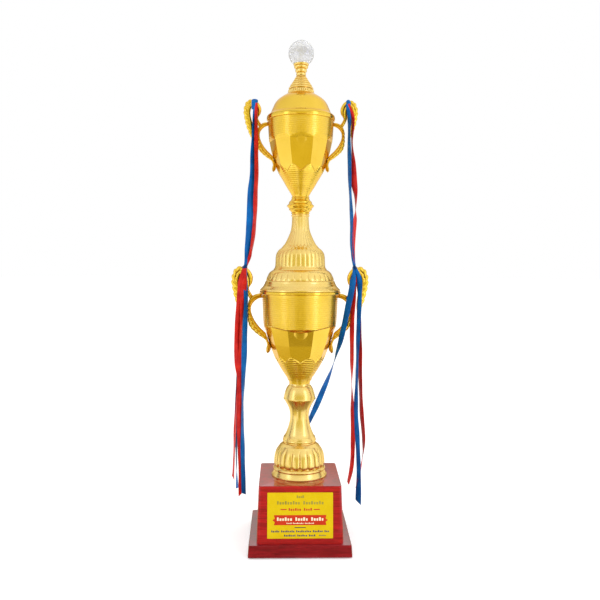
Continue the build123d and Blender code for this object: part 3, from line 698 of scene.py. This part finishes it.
scroll_inside = smooth(
    (2.6, -2), (5.4, 2.6), (8.6, 8.4), (11.4, 16.6), (11.6, 24), (12.6, 31), (15.4, 32.6), (18, 25),
    (17.2, 17), (14, 4), (12.6, -14), (14.2, -25.2))


def resampled(line, count, pace=None):
    """The line's points spaced evenly, or by pace, shares of its length at even steps."""
    run = np.concatenate([[0], np.cumsum(np.linalg.norm(np.diff(line, axis=0), axis=1))])
    wanted = np.linspace(0, 1, count) if pace is None else np.interp(np.linspace(0, 1, count), *pace)
    return np.stack([np.interp(wanted * run[-1], run, line[:, k]) for k in (0, 1)], axis=1)


def pushed(line, other, reach):
    """The line moved away from another one, by a reach at each point."""
    return line + reach[:, None] * (line - other) / np.linalg.norm(line - other, axis=1, keepdims=True)


def band(first, second, thick, relief):
    """Closed moulded band between two edges: thick in the middle, thin at both edges, with relief on it."""
    steps = len(first)
    t = np.linspace(0, 1, steps)[:, None]
    s = (1 - np.cos(np.linspace(0, np.pi, 21)))[None, :] / 2
    flat = first[:, None, :] * (1 - s[..., None]) + second[:, None, :] * s[..., None]
    swell = np.clip(1 - np.abs(2 * s - 1) ** 2.6, 0, 1) ** 0.5
    ends = ease(np.minimum(t, 1 - t) * 40) * 0.55 + 0.45
    depth = thick / 2 * swell * relief(t, s) * ends
    front = np.stack([flat[..., 0], -depth, flat[..., 1]], axis=-1)
    back = (front * (1, -1, 1))[:, -2:0:-1]
    loop = np.concatenate([front, back], axis=1)
    columns = loop.shape[1]
    return loop.reshape(-1, 3), grid_faces(steps, columns) + end_faces(steps, columns)


def arm_relief(t, s):
    """A smooth rail along the inside and a notched leaf along the outside, parted by a groove."""
    groove = 1 - 0.45 * np.exp(-((s - 0.5) / 0.09) ** 2)
    leaf = ease((s - 0.5) / 0.12) * ease((t - 0.2) / 0.06) * ease((0.88 - t) / 0.05)
    notch = 0.5 - 0.5 * np.cos(2 * np.pi * (t * ARM_NOTCHES - 0.9 * s))
    return groove * (1 - 0.32 * leaf * (1 - notch ** 0.6))


def scroll_relief(t, s):
    """A groove that follows the volute, and fan ribs on the outer leaf."""
    groove = 1 - 0.4 * np.exp(-((s - 0.42) / 0.08) ** 2) * ease((0.62 - t) / 0.1)
    fan = ease((t - 0.42) / 0.05) * ease((0.9 - t) / 0.05) * ease(1 - (s - 0.02) / 0.75)
    rib = 0.5 - 0.5 * np.cos(2 * np.pi * (t * FAN_LOBES + 0.5 * s))
    return groove * (1 - 0.3 * fan * (1 - rib ** 0.6)) * (1.0 + 0.12 * np.exp(-((t - 0.3) / 0.12) ** 2))


def scallops(count, size, dip, start, rise, end):
    """Reach of a row of scallops along a leaf's edge, between two shares of its length."""
    t = np.linspace(0, 1, HANDLE_STEPS)
    share = ease((t - start) / rise) * ease((end - t) / 0.05)
    return size * (np.abs(np.sin(np.pi * t * count)) - dip) * share


def handle_points(joint, scale, bowl_outside, bowl_foot):
    """Right-hand handle, in millimetres: the arm with its tail, and the scroll with its leaf."""
    inner, outer = resampled(arm_inside, HANDLE_STEPS), resampled(arm_outside, HANDLE_STEPS)
    outer = pushed(outer, inner, scallops(ARM_NOTCHES, 0.9, 0.5, 0.24, 0.06, 0.8))
    arm, arm_faces = band(inner, outer, ARM_THICK, arm_relief)
    pace = ([0, 0.3, 0.52, 0.62, 1], [0, 0.3, 0.46, 0.58, 1])
    edge, eye = resampled(scroll_outside, HANDLE_STEPS), resampled(scroll_inside, HANDLE_STEPS, pace)
    edge = pushed(edge, eye, scallops(FAN_LOBES, 1.7, 0.6, 0.36, 0.05, 0.92))
    scroll, scroll_faces = band(edge, eye, LEAF_THICK, scroll_relief)
    points = np.vstack([arm, scroll]) * scale + (joint[0], 0, joint[1])
    wall = np.interp(points[:, 2] - bowl_foot, bowl_outside[:, 1], bowl_outside[:, 0])
    points[:, 0] = np.maximum(points[:, 0], wall - 1.2)
    return points, arm_faces + [tuple(k + len(arm) for k in face) for face in scroll_faces]


for tier, joint, scale, bowl_line, foot_node in (
        ("upper", UPPER_JOINT, 1.0, upper_bowl_outside, "upper_bowl_cone"),
        ("lower", LOWER_JOINT, LOWER_SCALE, lower_bowl_outside, "lower_bowl")):
    right_points, right_faces = handle_points(joint, scale, bowl_line, level(foot_node, 0))
    for side, sign in (("right", 1), ("left", -1)):
        turned_faces = right_faces if sign > 0 else [tuple(reversed(face)) for face in right_faces]
        name = f"{tier}_handle_{side}"
        piece(name + "_moulded", right_points * (sign, 1, 1), turned_faces, bright_gold, stands_for=[name],
              slot="gold", crease=50.0)

# ---------------- wooden base


def rounded_block(name, stations, wood, stands_for):
    """Closed block from (height, half width, front, back, corner radius) rings, flat on top and below."""
    corner_steps, side_steps = 10, 14
    rings = []
    for height, half, front, back, corner in stations:
        ring = []
        for x, y, start in ((half, front, -90), (half, back, 0), (-half, back, 90), (-half, front, 180)):
            centre = np.array([x - math.copysign(corner, x), y - math.copysign(corner, y)])
            turns = np.radians(start + np.linspace(0, 90, corner_steps + 1))
            arc = [centre + corner * np.array([np.cos(a), np.sin(a)]) for a in turns]
            if ring:
                ring += [ring[-1] + (arc[0] - ring[-1]) * k / side_steps for k in range(1, side_steps)]
            ring += arc
        ring += [ring[-1] + (ring[0] - ring[-1]) * k / side_steps for k in range(1, side_steps)]
        rings.append([(x, y, height) for x, y in ring])
    rows, columns = len(rings), len(rings[0])
    faces = grid_faces(rows, columns) + end_faces(rows, columns)
    return piece(name, np.array(rings).reshape(-1, 3), faces, wood, stands_for=stands_for, slot="rosewood",
                 crease=40.0)


def eased_stations(low, high, low_sides, high_sides, corner, easing):
    """Leaning sides with a rounded arris at the top. Sides are half width, front and back."""
    low_sides, high_sides = np.array(low_sides), np.array(high_sides)
    outward = np.array([1.0, -1.0, 1.0])
    rise = high - low
    made = [(low, *low_sides, corner)]
    for share in np.linspace(0.08, 1 - easing / rise, 8):
        made.append((low + rise * share, *(low_sides + (high_sides - low_sides) * share), corner))
    for a in np.radians(np.linspace(0, 90, 7))[1:]:
        inset = easing * (1 - math.cos(a))
        height = high - easing * (1 - math.sin(a))
        sides = low_sides + (high_sides - low_sides) * (height - low) / rise - outward * inset
        made.append((height, *sides, corner - inset))
    return made


block_front, block_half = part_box("base_block")[0].y / MM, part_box("base_block")[1].x / MM
BLOCK_TOP_HALF = 73.0
plinth_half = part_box("base_plinth")[1].x / MM
plinth_top_half = plinth_half - 1.5
block_rings = eased_stations(plinth_top, block_top, (block_half, block_front, block_half),
                             (BLOCK_TOP_HALF, -BLOCK_TOP_HALF, BLOCK_TOP_HALF), corner=5.5, easing=1.2)
rounded_block("base_block_lacquered", block_rings, rosewood, ["base_block"])
plinth_rings = eased_stations(plinth_low, plinth_top, (plinth_half, -plinth_half, plinth_half),
                              (plinth_top_half, -plinth_top_half, plinth_top_half), corner=4.0, easing=1.4)
rounded_block("base_plinth_lacquered", plinth_rings, dark_rosewood, ["base_plinth"])

# ---------------- label

LABEL_CENTRE, LABEL_WIDTH, LABEL_HEIGHT = 72.0, 115.0, 79.0
INK_LOW, INK_HIGH = 0.7, 0.92
lean = math.atan((-BLOCK_TOP_HALF - block_front) / (block_top - plinth_top))
face_depth = block_front + (LABEL_CENTRE - plinth_top) * math.tan(lean)
label_up = np.array([0.0, math.sin(lean), math.cos(lean)])
label_out = np.array([0.0, -math.cos(lean), math.sin(lean)])


def on_label(across, up, out):
    return np.array([across, face_depth, LABEL_CENTRE]) + up * label_up + out * label_out


def plate(corners, low, high):
    """Closed plate from a counter-clockwise outline on the label, with a narrow sloping edge."""
    corners = np.array(corners, float)
    inward = np.mean(corners, axis=0) - corners
    reach = np.linalg.norm(inward, axis=1, keepdims=True)
    inner = corners + inward / reach * np.minimum(0.25, 0.3 * reach)
    points = []
    for ring, out in ((corners, low), (corners, (low + high) / 2), (inner, high)):
        points += [on_label(*corner, out) for corner in ring]
    return points, grid_faces(3, len(corners)) + end_faces(3, len(corners))


def rounded_outline(across, up, width, height, corner, steps=3):
    made = []
    for x, y, start in ((1, -1, -90), (1, 1, 0), (-1, 1, 90), (-1, -1, 180)):
        for b in np.linspace(0, 90, steps + 1):
            a = math.radians(start + b)
            made.append((across + x * (width / 2 - corner) + corner * math.cos(a),
                         up + y * (height / 2 - corner) + corner * math.sin(a)))
    return made


def printed(name, outlines, material, low=INK_LOW, high=INK_HIGH, stands_for=()):
    """Plates of one colour, as one piece."""
    points, faces = [], []
    for corners in outlines:
        some, quads = plate(corners, low, high)
        faces += [tuple(k + len(points) for k in face) for face in quads]
        points += some
    return piece(name, points, faces, material, stands_for=stands_for, slot="label", crease=25.0)


def dashes(up, lengths, height, gap, centre=0.0):
    """A centred row of bars."""
    total = sum(lengths) + gap * (len(lengths) - 1)
    start = centre - total / 2
    made = []
    for length in lengths:
        made.append(rounded_outline(start + length / 2, up, length, height, min(length, height) * 0.3))
        start += length + gap
    return made


def strokes(up, words, height, pitch, word_gap, centre=0.0):
    """A centred row of words, each a run of short bars, every third one taller, every other one narrower."""
    start = centre - (sum(words) * pitch + word_gap * (len(words) - 1)) / 2
    made = []
    for count in words:
        for place in range(count):
            tall = height * (1.0 if place % 3 == 0 else 0.72)
            wide = pitch * (0.62 if place % 2 == 0 else 0.74)
            across = start + pitch * (place + 0.5)
            made.append(rounded_outline(across, up + (tall - height) / 2, wide, tall, wide * 0.25))
        start += count * pitch + word_gap
    return made


board = rounded_outline(0, 0, LABEL_WIDTH, LABEL_HEIGHT, 1.2, 5)
printed("label_board", [board], yellow_film, 0.02, 0.8, ["label_plate"])
olive_rows = strokes(32.4, [4], 5.0, 3.4, 3.0) + strokes(22.0, [9, 8], 6.0, 4.6, 4.6)
printed("label_rows_olive", olive_rows, ink_olive)
printed("label_rows_dark", dashes(-20.6, [20.0], 1.2, 1.0), ink_dark)
blue_rows = strokes(-27.0, [5, 8, 9, 6, 3], 3.6, 3.0, 2.2) + strokes(-34.2, [7, 6, 4], 3.4, 3.0, 2.2, -1.0)
printed("label_rows_blue", blue_rows + strokes(-34.2, [5], 1.8, 2.5, 1.0, 39.0), ink_blue)
side_dashes = dashes(10.4, [11.0], 1.8, 1.0, -29.0) + dashes(10.4, [11.0], 1.8, 1.0, 29.0)
printed("label_rows_red", strokes(10.6, [6, 4], 4.6, 3.8, 4.0) + side_dashes, ink_red)
banner = [(-46.0, -16.4), (46.0, -16.4), (44.4, -11.0), (48.4, -8.0), (44.4, -5.0), (46.0, 0.8), (-46.0, 0.8),
          (-44.4, -5.0), (-48.4, -8.0), (-44.4, -11.0)]
printed("label_banner", [banner], banner_red, high=0.98)
banner_rows = strokes(-6.0, [6, 5, 5], 6.0, 4.6, 4.6) + strokes(-13.2, [4, 8, 7], 2.2, 2.4, 1.6)
printed("label_banner_rows", banner_rows, ink_pale, 0.9, 1.08)

# ---------------- ribbons

RIBBON_WIDTH, RIBBON_THICK = 12.0, 0.3
GATHER_RUN = 30.0
SATINS = {"blue": blue_satin, "red": red_satin}


def ribbon(name, stations, colour, stands_for, cup=0.7, slant=0.0, ripple=5.0, phase=0.0, spacing=2.0,
           gather=(1.0, 1.0)):
    """Satin strip through (x, y, z, turn) stations. turn is its twist away from facing the front, in degrees.
    gather is its share of the full width at each end, where it is bunched."""
    path = smooth(*stations, spacing=spacing)
    rows = len(path)
    step = np.gradient(path[:, :3], axis=0)
    along = step / np.linalg.norm(step, axis=1, keepdims=True)
    run = np.concatenate([[0], np.cumsum(np.linalg.norm(np.diff(path[:, :3], axis=0), axis=1))])
    sway = np.sin(run / 23.0 + phase) + 0.5 * np.sin(run / 9.1 + 2 * phase)
    turn = np.radians(path[:, 3] + ripple * sway)
    facing = np.stack([np.cos(turn), np.sin(turn), np.zeros(rows)], axis=1)
    facing -= along * np.sum(facing * along, axis=1, keepdims=True)
    facing /= np.linalg.norm(facing, axis=1, keepdims=True)
    normal = np.cross(along, facing)
    start, end = (1 - ease(reach / GATHER_RUN) for reach in (run, run[-1] - run))
    share = 1 - (1 - gather[0]) * start - (1 - gather[1]) * end
    wide = RIBBON_WIDTH * share
    arch = cup * share + wide * np.sqrt(0.375 * (1 / share - 1))
    across = np.linspace(-1, 1, 9)
    loop = []
    for side, order in ((1, across), (-1, across[::-1])):
        for s in order:
            bow = (arch * (1 - s * s) + side * RIBBON_THICK / 2)[:, None]
            column = path[:, :3] + facing * (s * wide / 2)[:, None] + normal * bow
            cut = slant * (s + 1) / 2 * ease((run - run[-1] + 14.0) / 14.0)
            loop.append(column - along * cut[:, None])
    points = np.stack(loop, axis=1)
    columns = points.shape[1]
    faces = grid_faces(rows, columns) + end_faces(rows, columns)
    made = piece(name, points.reshape(-1, 3), faces, SATINS[colour], stands_for=stands_for,
                 slot="ribbon_" + colour, crease=60.0)


def strand(node_name, depth, stations, **shape):
    """Ribbon for one CAD strand: stations are (x, z, turn), with any extra depth as a fourth number."""
    colour = "blue" if "blue" in node_name else "red"
    in_depth = [(x, depth + sum(extra), z, turn) for x, z, turn, *extra in stations]
    ribbon(node_name + "_satin", in_depth, colour, [node_name], **shape)


strand("left_ribbon_blue", -8, [
    (-84, 800, 60), (-85, 755, 62, -1), (-86.5, 719, 56, -2), (-88.3, 661, 40, -3), (-90, 646, 28, -3),
    (-91.9, 592, 8, -4), (-94.2, 555, 28, -4), (-97.4, 528, 48, -3), (-100.5, 509, 52, -2)],
    phase=0.4, gather=(0.7, 0.5))
strand("left_ribbon_red", -8, [
    (-82, 800, 66), (-80.4, 755, 66, -1), (-80.3, 719, 60, -2), (-80.1, 661, 52, -3), (-81, 646, 51, -3),
    (-82.8, 592, 65, -2), (-86.3, 555, 63, -2), (-91.4, 528, 64, -2), (-99.6, 509, 58, -1)],
    phase=1.9, gather=(0.55, 0.5))
strand("right_ribbon_blue", -8, [
    (84, 800, -56), (86.2, 785, -60, -1), (87.2, 731, -66, -2), (88.1, 692, -64, -3), (88.8, 664, -72, -3),
    (92.8, 592, -61, -3), (94.4, 537, -72, -2), (99.4, 509, -60, -2)], phase=2.7, gather=(0.5, 0.5))
strand("right_ribbon_red", -8, [
    (86, 800, -62), (91.7, 785, -63, -1), (92.6, 731, -80, -1), (95, 692, -48, -3), (96.3, 664, -28, -4),
    (100, 630, -82, -4), (100, 610, -96, -4), (99, 592, -123, -4), (97.2, 537, -114, -3),
    (99.8, 509, -120, -2)], phase=0.9, gather=(0.5, 0.5))

tail = {"gather": (0.5, 1.0)}
strand("left_tail_red_outer", -17, [
    (-101.5, 506, 40, 5), (-106, 486, 32, 2), (-109.6, 455, 34), (-112, 427, 45), (-114.4, 382, 44),
    (-113.8, 340, 24), (-113, 300, 84), (-115.4, 268, 112), (-118.4, 200, 110), (-119.6, 160, 104),
    (-121.4, 116, 122)], slant=6.0, phase=0.2, **tail)
strand("left_tail_blue_outer", -8.5, [
    (-101, 506, 50), (-105, 480, 58), (-108.5, 427, 64), (-111.8, 338, 70), (-115.4, 262, 72),
    (-115.6, 200, 60), (-115.8, 160, 84), (-114.4, 101, 118)], slant=-5.0, phase=1.1, **tail)
strand("left_tail_red_inner", -13.5, [
    (-100.6, 506, 46, 2), (-101.6, 480, 36), (-104.6, 446, 48), (-106.8, 400, 66), (-108.8, 338, 50),
    (-109.8, 262, 24), (-109.6, 205, 38), (-108.8, 150, 64), (-107, 86, 40)], slant=7.0, phase=2.2, **tail)
strand("left_tail_blue_inner", -9.5, [
    (-100.6, 506, 58), (-99.4, 480, 60), (-98.6, 446, 60), (-100, 400, 44), (-101.6, 350, 38),
    (-103.6, 290, 66), (-104.6, 240, 70), (-104.4, 186, 62), (-102.4, 91, 44)],
    slant=-6.0, phase=3.0, **tail)
strand("right_tail_red_inner", -9.5, [
    (99.6, 506, -48), (98.8, 480, -58), (97.8, 455, -52), (95.4, 405, -50), (95.4, 344, -66),
    (95.6, 300, -86), (96.4, 270, -110), (98.2, 215, -140), (98.6, 190, -142), (94.6, 125, -128),
    (89.2, 103, -124)], slant=9.0, phase=0.6, **tail)
strand("right_tail_red_outer", -9, [
    (100.4, 506, -50, 1), (104.6, 480, -66), (109.6, 427, -80), (109.8, 385, -68), (110, 345, -52),
    (112, 285, -60), (114.6, 236, -63), (118.4, 190, -68), (117.6, 163, -86), (113, 132, -108),
    (105.4, 92, -124)], slant=8.0, phase=1.7, **tail)
strand("right_tail_blue_outer", -15, [
    (100.4, 506, -52, 4), (106, 490, -44, 1), (108.2, 474, -44), (108.2, 455, -50), (106.8, 409, -60),
    (105.6, 370, -66), (103.8, 290, -68), (103.2, 244, -62), (106.4, 190, -48), (109.2, 130, -58),
    (108.8, 77, -40)], slant=-8.0, phase=2.9, **tail)
strand("right_tail_blue_tucked", -9.5, [
    (99.4, 506, -50, -1), (96.6, 486, -36, -4), (93, 462, -34, -4), (88.6, 440, -34, -3),
    (80.8, 400, -36, -1), (74.6, 372, -48), (66.6, 346, -80, 1), (63.6, 334, -100, 2), (52, 300, -132, 8),
    (42.4, 274, -154, 16), (32, 246, -156, 25), (22, 222, -150, 32), (13, 203, -140, 34)],
    slant=4.0, phase=0.1, **tail)


def fold(node_name, x, half_deep, low, top, lean, gathered, phase):
    """Ribbon laid over a curl: up behind it, over its crest and down the front. lean shifts it sideways."""
    middle = (low + top) / 2
    over = [(-1, half_deep, low), (-0.6, half_deep + 0.3, middle), (-0.3, half_deep * 0.55, top - 0.9),
            (0, -half_deep * 0.2, top), (0.3, -half_deep * 0.9, top - 1.7), (0.6, -half_deep - 1.6, middle),
            (1, -half_deep - 2.8, low - 3.0)]
    stations = [(x + lean * share, deep, height, 0) for share, deep, height in over]
    ribbon(node_name + "_satin", stations, "blue", [node_name], cup=-0.5, ripple=3.0, phase=phase,
           spacing=1.0, gather=(gathered, gathered))


def knot_band(name, centre, wide, deep, tall, tilt):
    """Tight turn of ribbon round the bunched strands, higher on one side, creased along its length."""
    x, y, z = centre
    turns = np.linspace(0, 2 * math.pi, 41)[:-1]
    across = np.linspace(-1, 1, 13)
    bulge = 1.5 * (1 - across ** 2) + 0.4 * np.cos(3 * math.pi * across)
    profile = [(tall / 2 * s, out) for s, out in zip(across, bulge)]
    profile += [(tall / 2 * s * 0.97, out - 0.4) for s, out in zip(across[::-1], bulge[::-1])]
    points, around = [], 0.0
    for a in turns:
        pinch = 1 + 0.1 * math.sin(3 * a)
        place = np.array([x + wide * math.sin(a) * pinch, y - deep * math.cos(a)])
        away = np.array([math.sin(a), -math.cos(a)])
        for rise, out in profile:
            side = place + away * out
            points.append((side[0], side[1], z + tilt * math.sin(a) + rise))
        around += math.hypot(wide * math.cos(a), deep * math.sin(a)) * 2 * math.pi / len(turns)
    faces = [face[::-1] for face in grid_faces(len(turns), len(profile), wrap_rows=True)]
    # The band is the blue ribbon made darker: painted shade inside the knot.
    made = piece(name, points, faces, navy_satin, slot="ribbon_blue", crease=60.0)


fold("left_upper_wrap", -83.6, 4.0, 792.0, 807.8, -0.6, 0.84, 0.3)
fold("right_upper_wrap", 86.0, 4.0, 792.0, 806.8, 0.4, 0.55, 1.2)
fold("left_knot", -100.6, 4.8, 498.0, 507.4, -0.6, 0.6, 2.0)
fold("right_knot", 99.6, 4.8, 498.0, 507.4, 0.6, 0.5, 0.8)
knot_band("left_knot_band", (-100.6, -10.4, 505.6), 3.4, 4.8, 7.4, 1.9)
knot_band("right_knot_band", (99.6, -10.4, 505.2), 2.2, 4.8, 7.4, -1.2)

# ---------------- CAD nodes kept as they are

HARDWARE = ("tie_rod", "base_washer", "base_nut", "cup_washer", "cup_nut", "lid_stud", "lid_nut",
            "lower_handle_screws", "upper_handle_screws")
for names, material in ((HARDWARE, zinc_plate), (("felt_pad",), dark_felt)):
    for name in names:
        cad[name].data.materials.clear()
        cad[name].data.materials.append(material)

# ---------------- studio


def stage_material(name, tone, glow):
    """Matt, slightly mottled and faintly glowing."""
    made, tree, shader = new_material(name, Roughness=0.7, Emission_Strength=glow)
    dim = tuple(0.985 * c for c in tone)
    shade = ramp(tree, noise(tree, object_point(tree), 2.0, 3.0), [(0.3, dim), (0.7, tone)])
    feed(shader, Base_Color=shade, Emission_Color=shade)
    return made


def floor_disc():
    radii, sides = [0.5, 1.5, 4.0, 12.0, 40.0], 96
    turns = [2 * math.pi * k / sides for k in range(sides)]
    points = [(0.0, 0.0, 0.0)]
    points += [(radius * math.sin(a), -radius * math.cos(a), 0.0) for radius in radii for a in turns]
    faces = [(0, 1 + k, 1 + (k + 1) % sides) for k in range(sides)]
    faces += [face[::-1] for face in grid_faces(len(radii), sides, first=1)]
    material = stage_material("studio_floor", (0.93, 0.93, 0.93), 0.28)
    mesh_object("studio_floor", points, faces, material)


def reflection_card(name, near, far, middle, half_angle, tone, glow):
    """Wedge just above the floor round the trophy, seen only in its mirror-like surfaces."""
    steps = max(4, round(half_angle / 4))
    whole_ring = half_angle >= 90
    lift = 0.004 if whole_ring else 0.005
    turns = [math.radians(middle + half_angle * (2 * step / steps - 1)) for step in range(steps + 1)]
    points = [(reach * math.sin(a), -reach * math.cos(a), lift) for reach in (near, far) for a in turns]
    faces = grid_faces(2, steps + 1, wrap_columns=False)
    made = mesh_object(name, points, faces, stage_material(name, tone, glow))
    made.visible_camera = False
    made.visible_diffuse = False
    made.visible_shadow = False


def softbox(name, place, size, power, colour=WHITE, mirrored=True):
    """Lamp that faces the middle of the trophy."""
    data = bpy.data.lights.new(name, "AREA")
    data.shape = "RECTANGLE"
    data.size, data.size_y = size
    data.energy = power
    data.color = colour
    made = placed(name, data)
    made.visible_glossy = mirrored
    made.location = place
    made.rotation_euler = (Vector((0.0, 0.0, 0.5)) - Vector(place)).to_track_quat("-Z", "Y").to_euler()


def studio_world():
    """Pale room, seen only in reflections: warm round the viewer, pale at the sides, dim at the back."""
    world = bpy.data.worlds.new("studio")
    world.use_nodes = True
    tree = world.node_tree
    coords = node(tree, "ShaderNodeTexCoord").outputs["Generated"]
    axes = node(tree, "ShaderNodeSeparateXYZ", {"Vector": coords}).outputs

    def maths(operation, *values):
        return node(tree, "ShaderNodeMath", dict(enumerate(values)), operation=operation).outputs[0]

    turn = maths("ARCTAN2", axes["X"], maths("MULTIPLY", axes["Y"], -1.0))
    share = maths("DIVIDE", maths("ABSOLUTE", turn), math.pi)
    walls = ramp(tree, share, [
        (0.0, (0.7, 0.64, 0.2)), (0.12, (0.72, 0.66, 0.25)), (0.26, (0.74, 0.7, 0.4)),
        (0.38, (0.97, 1.02, 1.03)), (0.7, (0.94, 0.97, 0.98)), (0.8, (0.55, 0.5, 0.42)),
        (0.88, (0.3, 0.25, 0.18)), (1.0, (0.34, 0.29, 0.22))])
    sky = node(tree, "ShaderNodeMapRange", {"Value": axes["Z"], "From Min": 0.2, "From Max": 0.5})
    room = mixed(tree, sky.outputs["Result"], walls, WHITE)
    tilt = {"Value": axes["X"], "From Min": -0.6, "From Max": 0.6, "To Min": 1.0, "To Max": 1.18}
    power = node(tree, "ShaderNodeMapRange", tilt).outputs["Result"]
    seen = node(tree, "ShaderNodeLightPath").outputs["Is Camera Ray"]
    strength = node(tree, "ShaderNodeMix", {0: seen, 2: power, 3: 1.0}, data_type="FLOAT").outputs[0]
    feed(tree.nodes["Background"], Color=mixed(tree, seen, room, WHITE), Strength=strength)
    bpy.context.scene.world = world


floor_disc()
reflection_card("near_ring", 0.1, 0.3, 0.0, 180.0, (0.32, 0.27, 0.12), 0.2)
reflection_card("front_near_card", 0.3, 0.45, 0.0, 17.0, (0.42, 0.36, 0.06), 0.4)
reflection_card("front_card", 0.45, 0.9, 0.0, 17.0, (0.31, 0.26, 0.05), 0.36)
reflection_card("left_near_card", 0.3, 0.5, -68.0, 32.0, (0.5, 0.42, 0.1), 0.3)
reflection_card("left_card", 0.5, 0.8, -68.0, 32.0, (0.6, 0.54, 0.25), 0.4)
reflection_card("front_far_card", 0.9, 14.0, 0.0, 17.0, (0.5, 0.44, 0.1), 0.6)
studio_world()
softbox("left_softbox", (-1.5, -1.25, 0.85), (0.5, 1.5), 3.0, (0.85, 0.95, 1.5))
softbox("right_softbox", (1.45, -1.35, 0.8), (0.5, 1.7), 4.6, (0.85, 0.95, 1.6))
softbox("top_softbox", (0.0, -0.5, 2.1), (1.6, 1.2), 3.2, mirrored=False)
bpy.context.scene.view_settings.view_transform = "Standard"

# ---------------- camera

CAMERA_DISTANCE, CAMERA_HEIGHT = 1.254, 0.5005
CAMERA_TURN, CAMERA_DIP, CAMERA_ROLL = -1.6, 2.515, 0.28
lens = bpy.data.cameras.new("camera")
lens.sensor_width = 36.0
lens.lens = 40.98
lens.clip_end = 100.0
camera = placed("camera", lens)
swing = math.radians(CAMERA_TURN)
camera.location = (CAMERA_DISTANCE * math.sin(swing), -CAMERA_DISTANCE * math.cos(swing), CAMERA_HEIGHT)
facing = Matrix.Rotation(swing, 3, "Z") @ Matrix.Rotation(math.radians(90 - CAMERA_DIP), 3, "X")
camera.rotation_euler = (facing @ Matrix.Rotation(math.radians(CAMERA_ROLL), 3, "Z")).to_euler()
bpy.context.scene.camera = camera
